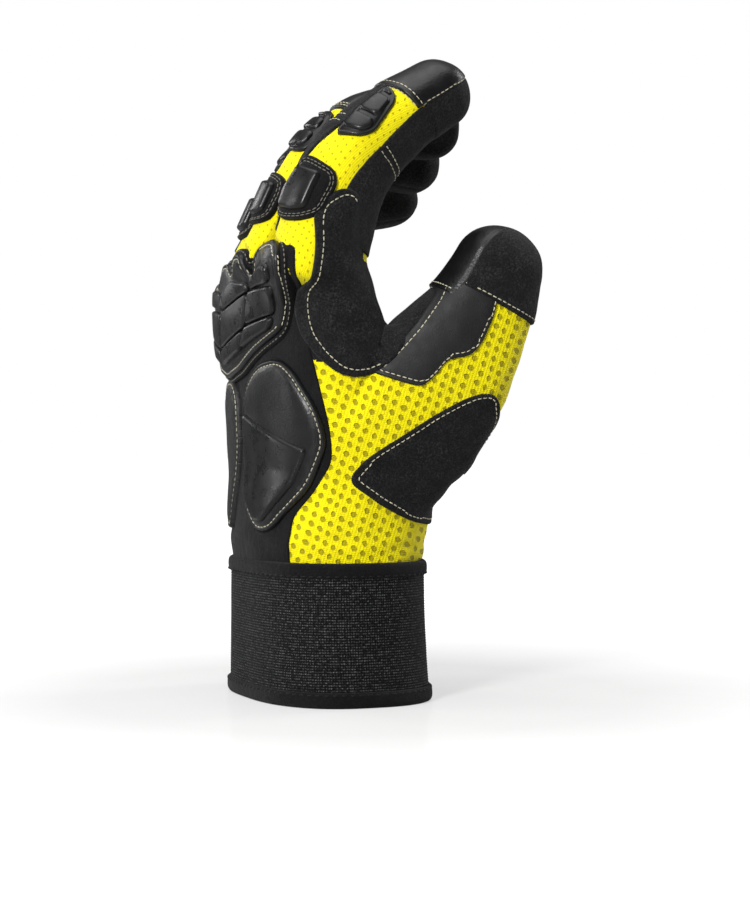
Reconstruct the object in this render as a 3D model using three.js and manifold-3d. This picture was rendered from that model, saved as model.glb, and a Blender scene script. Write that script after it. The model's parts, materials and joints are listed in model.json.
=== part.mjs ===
// A padded left-hand work glove, standing on its open elastic cuff with the fingers curled.
//
// Frame: +Z up, +X the way the palm faces, -X the back of the hand, -Y the thumb side.
// Millimetres and degrees throughout. Every finger bends in a plane across Y.
//
// The glove is a set of closed lofts (hand, thumb, four fingers). A fabric panel is the space between
// two offsets of a loft, cut to its outline. What lies over a panel takes the next offsets out.

import * as THREE from "three";
import { mergeVertices } from "three/addons/utils/BufferGeometryUtils.js";
import Module from "manifold-3d";

const wasm = await Module();
wasm.setup();

// ---------------------------------------------------------------- driving dimensions

const WALL = 1.8; // fabric and its laminated lining
const GAP = 0.35; // between neighbouring pieces
const PATCH = 1.2; // suede or leather laid over the shell
const PAD = 1.8; // foam-backed leather of a pad
const RUBBER = 1.8; // moulded block on a pad
const CORNER = 2.6; // superellipse exponent of the fingers, thumb and cuff
const HAND_CORNER = 2.2; // the hand's section is rounder over the knuckles
const SECTION_SIDES = 14;
const HAND_SIDES = 28;
const FAR = 90; // reach of a cutting prism, beyond any piece

const CUFF = { bottom: 1.6, top: 50, x: -1.2, halfX: 30.4, halfY: 43, wall: 2, flare: 1.8, binding: 5.5, proud: 0.7 };

// The hand, from inside the cuff up past the finger roots.
const HAND = [
  { z: 40, x: -1.2, halfX: 27.6, halfY: 40.4, turn: 0 },
  { z: 56, x: -1, halfX: 29, halfY: 42.4, turn: 0 },
  { z: 76, x: -2, halfX: 28.8, halfY: 44.4, turn: 0 },
  { z: 96, x: -5, halfX: 26.4, halfY: 46.6, turn: 0 },
  { z: 116, x: -8.5, halfX: 23.4, halfY: 48.6, turn: 1 },
  { z: 136, x: -12, halfX: 20.6, halfY: 49.6, turn: 2 },
  { z: 154, x: -14, halfX: 19, halfY: 49.4, turn: 3 },
  { z: 178, x: -10, halfX: 17.6, halfY: 49.2, turn: 3 },
];

// Fingers: centre-line points in the bending plane, from the root joint to the centre of the tip.
const FINGERS = [
  { name: "index", y: -37.3, root: [-14.5, 157], middle: [-6, 183.5], far: [10, 201.5], tip: [25.5, 212.5], size: 1 },
  { name: "middle", y: -12.5, root: [-17.5, 161], middle: [-4, 189], far: [14, 204.5], tip: [34, 205.5], size: 1 },
  { name: "ring", y: 12.3, root: [-13.5, 158.5], middle: [-1, 185], far: [16.5, 198.5], tip: [37.5, 196], size: 0.985 },
  { name: "little", y: 36.4, root: [-8, 152], middle: [4, 172], far: [20, 182], tip: [40, 186], size: 0.93 },
];
const FINGER_ROLL = [16, 6, -4, -12]; // degrees each finger's back turns towards the thumb side
const FINGER_SPACE = 0.4; // between the flat sides of two neighbours
const FINGER_THICK = [17.2, 16.6, 15, 13, 11.6]; // half thickness below the root, at it, and on to the tip
const FINGER_BROAD = [12.1, 12.1, 12.1, 11.9, 11.2];
const FINGER_TAIL = 14; // how far the loft starts below the root
const CAP_START = 0.84; // share of the centre line where a finger's leather cap begins

// Thumb: centre-line points from inside the palm to the centre of the tip.
const THUMB = [
  { at: [-2, -25, 72], thick: 21, broad: 15 },
  { at: [9, -35, 97], thick: 26.5, broad: 17 },
  { at: [24, -43.5, 119.5], thick: 22.5, broad: 16.6 },
  { at: [36, -48.5, 137.5], thick: 17.6, broad: 15 },
  { at: [42.5, -51, 152], thick: 14.8, broad: 13.6 },
];
const THUMB_ROOT = 2; // which of those points are joints
const THUMB_MIDDLE = 3;

// How far each joint opens and closes from rest. The index finger and the thumb face each other, so
// theirs stop before the two tips meet.
const ROOT_BEND = { open: 10, close: 40 };
const MIDDLE_BEND = { open: 15, close: 45 };
const INDEX_ROOT_BEND = { open: 10, close: 18 };
const INDEX_MIDDLE_BEND = { open: 15, close: 26 };
const THUMB_ROOT_BEND = { open: 15, close: 8 };
const THUMB_MIDDLE_BEND = { open: 10, close: 12 };
const BEND_SPARE = 2; // degrees left between two rims at the limit
const HINGE_GAP = 1.1; // from a hinge line to each rim

const COLOURS = {
  mesh: { color: 0xf2e40c, roughness: 0.85, metalness: 0 },
  suede: { color: 0x1b1b1c, roughness: 0.95, metalness: 0 },
  leather: { color: 0x262627, roughness: 0.55, metalness: 0 },
  rubber: { color: 0x2c2d2e, roughness: 0.45, metalness: 0 },
  elastic: { color: 0x161617, roughness: 0.9, metalness: 0 },
};

// ---------------------------------------------------------------- solids

/** A closed geometry as a manifold solid. */
function solidOf(geometry) {
  const bare = geometry.clone();
  bare.deleteAttribute("normal");
  bare.deleteAttribute("uv");
  const merged = mergeVertices(bare, 1e-4);
  const vertProperties = new Float32Array(merged.attributes.position.array);
  const triVerts = new Uint32Array(merged.index.array);
  return new wasm.Manifold(new wasm.Mesh({ numProp: 3, vertProperties, triVerts }));
}

/** A solid back as a geometry for a mesh. */
function geometryOf(solid) {
  const { numProp, vertProperties, triVerts } = solid.getMesh();
  const count = vertProperties.length / numProp;
  const position = new THREE.BufferAttribute(new Float32Array(count * 3), 3);
  for (let i = 0; i < count; i++) {
    position.setXYZ(i, ...vertProperties.subarray(i * numProp, i * numProp + 3));
  }
  const geometry = new THREE.BufferGeometry().setAttribute("position", position);
  geometry.setIndex(new THREE.BufferAttribute(new Uint32Array(triVerts), 1));
  const faceted = geometry.toNonIndexed();
  faceted.computeVertexNormals();
  return faceted;
}

/** Only the largest body of a cut solid, so that no crumb is left beside it. */
function largest(solid) {
  return solid.decompose().reduce((best, body) => (body.volume() > best.volume() ? body : best));
}

/** A solid through rings of equal length, each closed, with flat ends. */
function loft(rings) {
  const sides = rings[0].length;
  const middle = (ring) => ring.reduce((sum, p) => sum.add(p), new THREE.Vector3()).divideScalar(sides);
  const points = [...rings.flat(), middle(rings[0]), middle(rings.at(-1))];
  const start = points.length - 2;
  const last = (rings.length - 1) * sides;
  const faces = [];
  for (let j = 0; j < sides; j++) {
    const k = (j + 1) % sides;
    for (let i = 0; i < rings.length - 1; i++) {
      const row = i * sides;
      faces.push(row + j, row + k, row + sides + k, row + j, row + sides + k, row + sides + j);
    }
    faces.push(start, k, j, start + 1, last + j, last + k);
  }
  const geometry = new THREE.BufferGeometry().setFromPoints(points).setIndex(faces);
  return solidOf(geometry);
}

/** One superellipse ring, turning from `across` through `side`. */
function ringAt(centre, across, side, halfAcross, halfSide, sides, corner = CORNER) {
  const ring = [];
  for (let j = 0; j < sides; j++) {
    const angle = (2 * Math.PI * j) / sides;
    const bulge = (c) => Math.sign(c) * Math.abs(c) ** (2 / corner);
    ring.push(
      centre
        .clone()
        .addScaledVector(across, halfAcross * bulge(Math.cos(angle)))
        .addScaledVector(side, halfSide * bulge(Math.sin(angle))),
    );
  }
  return ring;
}

/** A prism from an outline of [x, z] points, through the whole glove along Y or between two values of it. */
function prismAlongY(outline, from = -FAR, to = FAR) {
  const shape = new THREE.Shape(outline.map(([x, z]) => new THREE.Vector2(x, z)));
  const geometry = new THREE.ExtrudeGeometry(shape, { depth: to - from, bevelEnabled: false });
  geometry.rotateX(Math.PI / 2).translate(0, to, 0);
  return solidOf(geometry);
}

/** A prism from an outline of [y, z] points, from x = `from` to x = `to`. */
function prismAlongX(outline, from, to) {
  const shape = new THREE.Shape(outline.map(([y, z]) => new THREE.Vector2(y, z)));
  return solidOf(extrudedAlongX(shape, from, to));
}

/** The geometry of a shape drawn in y and z, from x = `from` to x = `to`. */
function extrudedAlongX(shape, from, to) {
  const options = { depth: to - from, bevelEnabled: false, curveSegments: 3 };
  const geometry = new THREE.ExtrudeGeometry(shape, options);
  const frame = new THREE.Matrix4().makeBasis(
    new THREE.Vector3(0, 1, 0),
    new THREE.Vector3(0, 0, 1),
    new THREE.Vector3(1, 0, 0),
  );
  return geometry.applyMatrix4(frame).translate(from, 0, 0);
}

/** A rectangle with round corners, centred, as a shape. */
function roundedRectangle(width, height, radius) {
  const [x, y] = [width / 2 - radius, height / 2 - radius];
  const shape = new THREE.Shape();
  shape.absarc(x, y, radius, 0, Math.PI / 2);
  shape.absarc(-x, y, radius, Math.PI / 2, Math.PI);
  shape.absarc(-x, -y, radius, Math.PI, 1.5 * Math.PI);
  shape.absarc(x, -y, radius, 1.5 * Math.PI, 2 * Math.PI);
  return shape;
}

// ---------------------------------------------------------------- limbs

/** A finger or the thumb: a centre line with sections, whose offsets and bends are asked for. */
class Limb {
  /**
   * `curl` is +1 where the limb closes towards +X, and -1 for the thumb. `roll` turns its back towards -Y,
   * in degrees. `slab` is the stretch of Y it may fill beside its neighbours.
   */
  constructor(points, thick, broad, { curl = 1, roll = 0, slab = [-FAR, FAR] } = {}) {
    this.curve = new THREE.CatmullRomCurve3(points, false, "centripetal");
    this.thick = thick;
    this.broad = broad;
    this.curl = curl;
    this.roll = THREE.MathUtils.degToRad(roll);
    this.slab = slab;
  }

  /** The value at `share` of the line, of a list given at its points. */
  valueAt(list, share) {
    const place = share * (list.length - 1);
    const i = Math.min(Math.floor(place), list.length - 2);
    return THREE.MathUtils.lerp(list[i], list[i + 1], place - i);
  }

  /** Centre, tangent and inward normal (towards the closing side) at `share` of the line. */
  frameAt(share) {
    const centre = this.curve.getPoint(share);
    const along = this.curve.getTangent(share);
    const inward = new THREE.Vector3(along.z, 0, -along.x).multiplyScalar(this.curl).normalize();
    return { centre, along, inward };
  }

  /** The two axes of the section at `share` of the line, with its roll. */
  sectionAt(share) {
    const { along, inward } = this.frameAt(share);
    const across = inward.applyAxisAngle(along, this.roll);
    return { across, side: new THREE.Vector3().crossVectors(along, across).normalize() };
  }

  /** A ring of the limb kept inside its slab of Y, `inset` clear of the slab's sides. */
  ring(centre, { across, side }, halfAcross, halfSide, inset) {
    const [low, high] = this.slab;
    const points = ringAt(centre, across, side, halfAcross, halfSide, SECTION_SIDES);
    points.forEach((point) => (point.y = THREE.MathUtils.clamp(point.y, low + inset, high - inset)));
    return points;
  }

  /** The closed solid of the limb with its surface moved out by `offset`, ending in a dome. */
  offset(offset, steps = 8) {
    const inset = Math.max(0, -offset);
    const rings = [];
    for (let i = 0; i <= steps; i++) {
      const share = i / steps;
      const [thick, broad] = [this.thick, this.broad].map((list) => this.valueAt(list, share) + offset);
      rings.push(this.ring(this.curve.getPoint(share), this.sectionAt(share), thick, broad, inset));
    }
    const { centre, along } = this.frameAt(1);
    const [thick, broad] = [this.thick.at(-1) + offset, this.broad.at(-1) + offset];
    for (const degrees of [30, 56, 78]) {
      const angle = THREE.MathUtils.degToRad(degrees);
      const shrink = Math.cos(angle);
      const at = centre.clone().addScaledVector(along, thick * Math.sin(angle));
      rings.push(this.ring(at, this.sectionAt(1), thick * shrink, broad * shrink, inset));
    }
    return loft(rings);
  }

  /** The fabric between two offsets. */
  layer(inner, outer) {
    return this.offset(outer).subtract(this.offset(inner));
  }

  /** Everything past a bend (`side` +1) or before it (-1): a prism whose edge is a V round the hinge line. */
  beyondBend(share, bend, side, gap = HINGE_GAP) {
    const { centre, along, inward } = this.frameAt(share);
    const flat = new THREE.Vector3(along.x, 0, along.z).normalize();
    const rise = (degrees) => FAR * Math.tan(THREE.MathUtils.degToRad((degrees + BEND_SPARE) / 2));
    const at = (in_, up) => {
      const p = centre.clone().addScaledVector(inward, in_).addScaledVector(flat, side * (up + gap));
      return [p.x, p.z];
    };
    const outline = [at(0, 0), at(FAR, rise(bend.close)), at(FAR, 3 * FAR), at(-FAR, 3 * FAR)];
    outline.push(at(-FAR, rise(bend.open)));
    const clockwise = THREE.ShapeUtils.isClockWise(outline.map(([x, z]) => new THREE.Vector2(x, z)));
    return prismAlongY(clockwise ? outline.reverse() : outline);
  }

  /** Everything on the outer (back of the hand) side of the centre line moved inward by `shift`. */
  outerSide(shift) {
    const edge = [];
    for (let i = -1; i <= 13; i++) {
      const share = THREE.MathUtils.clamp(i / 12, 0, 1);
      const { centre, along, inward } = this.frameAt(share);
      const past = i < 0 ? -30 : i > 12 ? 30 : 0;
      const p = centre.clone().addScaledVector(along, past).addScaledVector(inward, shift);
      edge.push([p.x, p.z]);
    }
    const reach = (share, past) => {
      const { centre, along, inward } = this.frameAt(share);
      const p = centre.clone().addScaledVector(along, past).addScaledVector(inward, -40);
      return [p.x, p.z];
    };
    const outline = [...edge, reach(1, 30), reach(0.6, 0), reach(0.3, 0), reach(0, -30)];
    const clockwise = THREE.ShapeUtils.isClockWise(outline.map(([x, z]) => new THREE.Vector2(x, z)));
    return prismAlongY(clockwise ? outline.reverse() : outline);
  }

  /** A pad-shaped prism standing on the back of the limb between two shares of its line. */
  padPrism(from, to, width, radius) {
    const [a, b] = [this.curve.getPoint(from), this.curve.getPoint(to)];
    const out = this.sectionAt((from + to) / 2).across.negate();
    const up = b.clone().sub(a).normalize();
    const side = new THREE.Vector3().crossVectors(up, out).normalize();
    out.crossVectors(side, up).normalize();
    const shape = roundedRectangle(width, a.distanceTo(b), radius);
    const options = { depth: 40, bevelEnabled: false, curveSegments: 2 };
    const geometry = new THREE.ExtrudeGeometry(shape, options);
    const middle = a.clone().add(b).multiplyScalar(0.5);
    return solidOf(geometry.applyMatrix4(new THREE.Matrix4().makeBasis(side, up, out).setPosition(middle)));
  }
}

/** Where two neighbouring fingers meet: the value of Y between finger `i` and the one after it. */
const between = (i) => (FINGERS[i].y + FINGERS[i + 1].y) / 2;

function fingerLimb({ y, root, middle, far, tip, size }, i) {
  const at = ([x, z]) => new THREE.Vector3(x, y, z);
  const along = at(middle).sub(at(root)).normalize();
  const tail = at(root).addScaledVector(along, -FINGER_TAIL);
  const scaled = (list) => list.map((value) => value * size);
  const low = i > 0 ? between(i - 1) + FINGER_SPACE / 2 : -FAR;
  const high = i < FINGERS.length - 1 ? between(i) - FINGER_SPACE / 2 : FAR;
  const options = { roll: FINGER_ROLL[i], slab: [low, high] };
  return new Limb([tail, at(root), at(middle), at(far), at(tip)], scaled(FINGER_THICK), scaled(FINGER_BROAD), options);
}

const fingers = FINGERS.map((finger, i) => ({
  ...finger,
  limb: fingerLimb(finger, i),
  rootBend: finger.name === "index" ? INDEX_ROOT_BEND : ROOT_BEND,
  middleBend: finger.name === "index" ? INDEX_MIDDLE_BEND : MIDDLE_BEND,
}));
const FINGER_ROOT_SHARE = 1 / 4;
const FINGER_MIDDLE_SHARE = 2 / 4;

const thumb = new Limb(
  THUMB.map(({ at }) => new THREE.Vector3(...at)),
  THUMB.map(({ thick }) => thick),
  THUMB.map(({ broad }) => broad),
  { curl: -1 },
);
const THUMB_ROOT_SHARE = THUMB_ROOT / (THUMB.length - 1);
const THUMB_MIDDLE_SHARE = THUMB_MIDDLE / (THUMB.length - 1);

/** The hand's closed loft with its surface moved out by `offset`. */
function handLoft(offset) {
  const rings = HAND.map(({ z, x, halfX, halfY, turn }) => {
    const angle = THREE.MathUtils.degToRad(turn);
    const across = new THREE.Vector3(Math.cos(angle), Math.sin(angle), 0);
    const side = new THREE.Vector3(-Math.sin(angle), Math.cos(angle), 0);
    const centre = new THREE.Vector3(x, 0, z);
    return ringAt(centre, across, side, halfX + offset, halfY + offset, HAND_SIDES, HAND_CORNER);
  });
  return loft(rings);
}

// ---------------------------------------------------------------- the model

const glove = new THREE.Group();

/** Adds one named piece to the glove. */
function add(name, look, solid, parent = glove) {
  const mesh = new THREE.Mesh(geometryOf(largest(solid)), new THREE.MeshStandardMaterial(COLOURS[look]));
  mesh.name = name;
  parent.add(mesh);
}

/** Everything above the finger roots: where the hand ends and each finger's root fold begins. */
function aboveRoots(gap = HINGE_GAP) {
  const wedges = fingers.map(({ limb, rootBend }, i) => {
    const from = i > 0 ? between(i - 1) - 0.01 : -FAR;
    const to = i < fingers.length - 1 ? between(i) : FAR;
    const slab = new THREE.BoxGeometry(4 * FAR, to - from, 4 * FAR).translate(0, (from + to) / 2, 2 * FAR);
    const before = limb.beyondBend(FINGER_ROOT_SHARE, rootBend, -1, gap);
    return solidOf(slab).subtract(before);
  });
  return wedges.reduce((all, wedge) => all.add(wedge));
}

function addCuff() {
  const { bottom, top, wall, binding, proud } = CUFF;
  const ringOf = (z, out) => {
    const flare = CUFF.flare * ((top - z) / (top - bottom)) ** 2;
    const centre = new THREE.Vector3(CUFF.x + flare / 2, 0, z);
    const [across, side] = [new THREE.Vector3(1, 0, 0), new THREE.Vector3(0, 1, 0)];
    return ringAt(centre, across, side, CUFF.halfX + flare / 2 + out, CUFF.halfY + flare + out, HAND_SIDES);
  };
  const sleeve = (levels, out) => loft(levels.map((z) => ringOf(z, out)));
  const band = (low, high, inner, outer) => {
    const middle = (low + high) / 2;
    return sleeve([low, middle, high], outer).subtract(sleeve([low - 5, middle, high + 5], inner));
  };
  add("cuff_hem", "elastic", band(bottom, bottom + binding, -wall, proud));
  add("cuff_band", "elastic", band(bottom + binding + GAP, top - binding - GAP, -wall, 0));
  add("cuff_top_binding", "elastic", band(top - binding, top, -wall + 1.2, proud));
}

// Which part of the hand's shell is palm, seen from above: a wedge that opens towards +X.
const PALM_EDGE = [[FAR, -33], [21, -33], [10, -40], [-2, 60], [FAR, 60]];

/** The palm's side of the shell, grown by `spare` for a clean gap. */
function palmSide(spare) {
  const shape = new THREE.Shape(PALM_EDGE.map(([x, y], i) => new THREE.Vector2(x - spare, i < 3 ? y - spare : y)));
  return solidOf(new THREE.ExtrudeGeometry(shape, { depth: 3 * FAR, bevelEnabled: false }));
}

const thumbBase = (gap) => thumb.beyondBend(THUMB_ROOT_SHARE, THUMB_ROOT_BEND, -1, gap);

/** Hand and thumb base together, offset outward, up to the finger roots and the thumb's root. */
function handAndThumbBase(offset) {
  return handLoft(offset).add(thumb.offset(offset).intersect(thumbBase(HINGE_GAP)));
}

/** A layer over the hand and thumb base, from one offset to another. */
function handLayer(inner, outer) {
  const hollow = handLoft(inner).add(thumb.offset(inner).intersect(thumbBase(HINGE_GAP - 5)));
  return handAndThumbBase(outer).subtract(hollow).subtract(aboveRoots());
}

const CUFF_OVERLAP = 6; // how far the shell runs down inside the cuff

function addHandShell() {
  const belowCuff = solidOf(new THREE.BoxGeometry(FAR * 2, FAR * 2, FAR).translate(0, 0, -FAR / 2));
  const cuffTop = CUFF.top - CUFF_OVERLAP;
  const shell = handLayer(-WALL, 0).subtract(belowCuff.translate([0, 0, cuffTop]));
  add("palm_panel", "suede", shell.intersect(palmSide(-GAP / 2)));
  add("hand_back_mesh", "mesh", shell.subtract(palmSide(GAP / 2)));
}

// Outlines over the back of the hand, in [y, z].
const BACK_PANEL = [[-27, 50], [-29, 62], [-36, 73], [-42, 86], [-42.5, 100], [-40, 130], [-41, 158], [36, 150]];
BACK_PANEL.push([38, 100], [34, 80], [27, 62], [26, 50]);
const KITE_PAD = [[-2, 109], [-8, 115], [-17, 118], [-28, 118], [-34, 115], [-41, 103], [-42, 91], [-35, 76]];
KITE_PAD.push([-19, 60.5], [-12, 60.5], [-2.5, 69]);
const KITE_INSERT = [[-4.5, 103], [-38.5, 89], [-32, 76.5], [-18.5, 63.5], [-13, 63.5], [-5, 71]];
const SIDE_PAD = [[10, 114], [5.5, 107], [5, 92], [8.5, 76], [13, 62], [21, 62], [31, 88], [28, 106], [19, 115]];
const GUARD = [[-30, 129], [-37, 139], [-37.5, 152], [-32, 158], [-28, 158], [-24, 151], [-19, 158], [-5, 159.5]];
GUARD.push([0, 152.5], [5, 159], [20, 156.5], [25, 149.5], [30, 151.5], [40, 147], [42, 132], [27, 121]);
GUARD.push([12, 117], [-8, 122]);
const GUARD_RUBBER = [[-29, 132.5], [-34, 140], [-34.5, 148], [-24, 148.5], [0, 150], [25, 146.5], [38, 142]];
GUARD_RUBBER.push([38.5, 133.5], [26, 125], [12, 121], [-7, 125.5]);

/** A piece lying over the back of the hand, from one offset to another. */
function backPiece(outline, inner, outer) {
  return handLayer(inner, outer).intersect(prismAlongX(outline, -FAR, -8));
}

function addBackOfHand() {
  const panelTop = GAP + PATCH;
  const padTop = panelTop + GAP + PAD;
  const guardTop = padTop + 1;
  add("back_panel", "suede", backPiece(BACK_PANEL, GAP, panelTop));
  add("kite_pad", "leather", backPiece(KITE_PAD, panelTop + GAP, padTop));
  add("kite_pad_insert", "rubber", backPiece(KITE_INSERT, padTop + GAP, padTop + GAP + 1.4));
  add("side_pad", "leather", backPiece(SIDE_PAD, panelTop + GAP, padTop));
  add("knuckle_guard", "leather", backPiece(GUARD, panelTop + GAP, guardTop));
  add("knuckle_guard_rubber", "rubber", backPiece(GUARD_RUBBER, guardTop + GAP, guardTop + GAP + RUBBER));
}

// Outlines over the thumb side of the hand, in [x, z].
const SADDLE = [[-21, 124], [-25, 133], [-25, 170], [8, 170], [20, 128], [26, 118], [16, 116], [11, 111], [-3, 114]];
SADDLE.push([-10, 114], [-17, 117.5]);
const THENAR_PATCH = [[-10.5, 79], [-5, 85.5], [16.5, 101], [29, 107.5], [40, 106], [42, 98], [27, 65], [11, 65.5]];

/** A piece lying over the thumb side, from one offset to another. */
function sidePiece(outline, inner, outer) {
  return handLayer(inner, outer).intersect(prismAlongY(outline, -FAR, -24));
}

function addThumbSidePatches() {
  const overPanel = sidePiece(SADDLE, GAP, GAP + PATCH).subtract(prismAlongX(BACK_PANEL, -FAR, -8));
  add("thumb_saddle_patch", "suede", overPanel.subtract(prismAlongX(GUARD, -FAR, -8)));
  add("thenar_patch", "suede", sidePiece(THENAR_PATCH, GAP, GAP + PATCH));
}

function addThumb() {
  const clear = handLoft(GAP + PATCH + 0.8);
  const shell = thumb.layer(-WALL, 0).subtract(clear);
  const past = (share, bend, gap) => thumb.beyondBend(share, bend, 1, gap);
  const before = (share, bend, gap) => thumb.beyondBend(share, bend, -1, gap);
  const [root, middle] = [THUMB_ROOT_SHARE, THUMB_MIDDLE_SHARE];
  const proximal = shell.intersect(past(root, THUMB_ROOT_BEND)).intersect(before(middle, THUMB_MIDDLE_BEND));
  add("thumb_proximal_mesh", "mesh", proximal.intersect(thumb.outerSide(-4 - GAP / 2)));
  add("thumb_proximal_palm", "suede", proximal.subtract(thumb.outerSide(-4 + GAP / 2)));
  add("thumb_cap", "leather", shell.intersect(past(middle, THUMB_MIDDLE_BEND)));
  const fold = (share, bend) => {
    const space = shell.subtract(past(share, bend, HINGE_GAP - GAP));
    return space.subtract(before(share, bend, HINGE_GAP - GAP));
  };
  add("thumb_root_fold", "suede", fold(root, THUMB_ROOT_BEND));
  add("thumb_middle_fold", "suede", fold(middle, THUMB_MIDDLE_BEND));
}

function addFinger({ name, limb, size, rootBend, middleBend }) {
  const shell = limb.layer(-WALL, 0);
  const [root, middle] = [FINGER_ROOT_SHARE, FINGER_MIDDLE_SHARE];
  const past = (share, bend, gap) => limb.beyondBend(share, bend, 1, gap);
  const before = (share, bend, gap) => limb.beyondBend(share, bend, -1, gap);
  const proximalSpace = past(root, rootBend).intersect(before(middle, middleBend));
  const distalSpace = past(middle, middleBend);
  const capBend = { open: 0, close: 0 };
  const beforeCap = before(CAP_START, capBend, GAP / 2);
  const [backSide, palmEdge] = [limb.outerSide(-2 - GAP / 2), limb.outerSide(-2 + GAP / 2)];
  const proximal = shell.intersect(proximalSpace);
  const distal = shell.intersect(distalSpace);

  add(`${name}_proximal_mesh`, "mesh", proximal.intersect(backSide));
  add(`${name}_proximal_palm`, "suede", proximal.subtract(palmEdge));
  add(`${name}_distal_mesh`, "mesh", distal.intersect(beforeCap).intersect(backSide));
  add(`${name}_distal_palm`, "suede", distal.intersect(beforeCap).subtract(palmEdge));
  add(`${name}_cap`, "leather", distal.intersect(past(CAP_START, capBend, GAP / 2)));

  const fold = (share, bend) => {
    const space = shell.subtract(past(share, bend, HINGE_GAP - GAP));
    return space.subtract(before(share, bend, HINGE_GAP - GAP));
  };
  add(`${name}_root_fold`, "suede", fold(root, rootBend));
  add(`${name}_middle_fold`, "mesh", fold(middle, middleBend));

  const padLayer = limb.layer(GAP, GAP + PAD);
  const blockLayer = limb.layer(2 * GAP + PAD, 2 * GAP + PAD + RUBBER);
  const proximalPad = limb.padPrism(0.31, 0.475, 19 * size, 5);
  const proximalBlock = limb.padPrism(0.335, 0.45, 12.5 * size, 2);
  const distalPad = limb.padPrism(0.545, 0.8, 15.5 * size, 4);
  add(`${name}_knuckle_pad`, "leather", padLayer.intersect(proximalPad).intersect(proximalSpace));
  add(`${name}_knuckle_block`, "rubber", blockLayer.intersect(proximalBlock).intersect(proximalSpace));
  add(`${name}_tip_pad`, "rubber", padLayer.intersect(distalPad).intersect(distalSpace));
}

addCuff();
addHandShell();
addBackOfHand();
addThumbSidePatches();
addThumb();
fingers.forEach(addFinger);

// The frame's origin is under the middle of the glove's own box, on the surface it stands on.
const box = new THREE.Box3().setFromObject(glove);
const middle = box.getCenter(new THREE.Vector3());
glove.position.set(-middle.x, -middle.y, -box.min.z);

export default glove;
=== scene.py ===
"""A padded work glove for the left hand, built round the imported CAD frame.

Lengths are millimetres in the glove's own drawing coordinates until `add_mesh` moves them into the frame.
"""

import json
import math

import bpy
import numpy as np
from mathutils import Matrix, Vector, geometry, noise
from mathutils.bvhtree import BVHTree


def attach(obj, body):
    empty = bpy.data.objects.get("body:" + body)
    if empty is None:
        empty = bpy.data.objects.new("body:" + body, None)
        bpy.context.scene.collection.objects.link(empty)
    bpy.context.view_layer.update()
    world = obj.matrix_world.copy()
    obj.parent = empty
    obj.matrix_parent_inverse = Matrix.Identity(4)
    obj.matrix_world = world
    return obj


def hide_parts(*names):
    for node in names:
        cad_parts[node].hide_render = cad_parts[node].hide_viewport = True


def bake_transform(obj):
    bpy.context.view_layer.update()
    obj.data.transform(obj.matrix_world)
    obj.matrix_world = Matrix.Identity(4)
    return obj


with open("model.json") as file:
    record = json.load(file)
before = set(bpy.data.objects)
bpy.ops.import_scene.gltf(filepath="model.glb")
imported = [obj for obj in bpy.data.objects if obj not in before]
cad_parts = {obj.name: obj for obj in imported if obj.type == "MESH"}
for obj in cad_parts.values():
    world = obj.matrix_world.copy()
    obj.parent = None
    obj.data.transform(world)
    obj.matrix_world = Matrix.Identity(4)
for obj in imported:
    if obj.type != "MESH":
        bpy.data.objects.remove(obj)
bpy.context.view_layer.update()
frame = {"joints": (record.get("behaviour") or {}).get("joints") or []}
JOINTS = {joint["name"]: np.array(joint["pos_m"]) * 1000 for joint in frame["joints"]}
INDEX_ROOT = np.array([-14.5, -37.3, 157.0])
SHIFT = JOINTS["index_root_bend"] - INDEX_ROOT

# ---------------------------------------------------------------- drawing of the hand and its limbs

HAND = np.array([
    # height, centre x, half x, half y, turn in degrees
    (40, -1.2, 27.6, 40.4, 0),
    (56, -1.0, 29.0, 42.4, 0),
    (76, -2.0, 28.8, 44.4, 0),
    (96, -5.0, 26.4, 46.6, 0),
    (116, -8.5, 23.4, 48.6, 1),
    (136, -12.0, 20.6, 49.6, 2),
    (154, -14.0, 19.0, 49.4, 3),
    (178, -10.0, 17.6, 49.2, 3),
])
# how square a section is: 2 is an ellipse
HAND_CORNER = 2.2
LIMB_CORNER = 2.6
# a side on which no neighbour stands in the way
FREE = 1e3
FINGERS = {
    # name: root, middle, far joint and tip, roll in degrees, and the sides that the neighbours allow
    "index": ((-16.8, -34.6, 157), (-8, -34.8, 183.5), (9, -36.2, 201.5), (25.5, -37.3, 212.5), 24,
              (-FREE, -19.6)),
    "middle": ((-17.5, -9.2, 161), (-4, -9.6, 189), (14, -11, 204.5), (34, -12.3, 205.5), 10,
               (-19.2, 0.9)),
    "ring": ((-13.5, 12.6, 158.5), (-1, 12.6, 185), (16.5, 12.4, 198.5), (37.5, 12.3, 196), -4, (1.3, 24.3)),
    "little": ((-8, 36.4, 152), (4, 36.4, 172), (20, 36.4, 182), (40, 36.4, 186), -12, (24.7, FREE)),
}
FINGER_SIZE = {"index": 1, "middle": 1, "ring": 0.985, "little": 0.93}
FINGER_THICK = (17.2, 16.6, 15, 13, 11.6)
FINGER_BROAD = {
    "index": (14.8, 14.8, 14.6, 13.1, 11.4),
    "middle": (10.4, 10.4, 10.6, 11.2, 11.2),
    "ring": (12.1, 12.1, 12.1, 11.9, 11.2),
    "little": (12.1, 12.1, 12.1, 11.9, 11.2),
}
FINGER_TAIL = 14
THUMB = ((-2, -25, 72), (9, -35, 97), (24, -43.5, 119.5), (36, -48.5, 137.5), (42.5, -51, 152))
THUMB_THICK = (21, 26.5, 22.5, 17.6, 14.8)
THUMB_BROAD = (15, 17, 16.6, 15, 13.6)
# the way that the ball of the thumb faces
THUMB_WAY = (0.94, -0.34, 0)


def unit(v):
    v = np.asarray(v, float)
    return v / np.linalg.norm(v)


def unit_rows(a):
    return a / np.maximum(np.linalg.norm(a, axis=1), 1e-9)[:, None]


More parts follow.
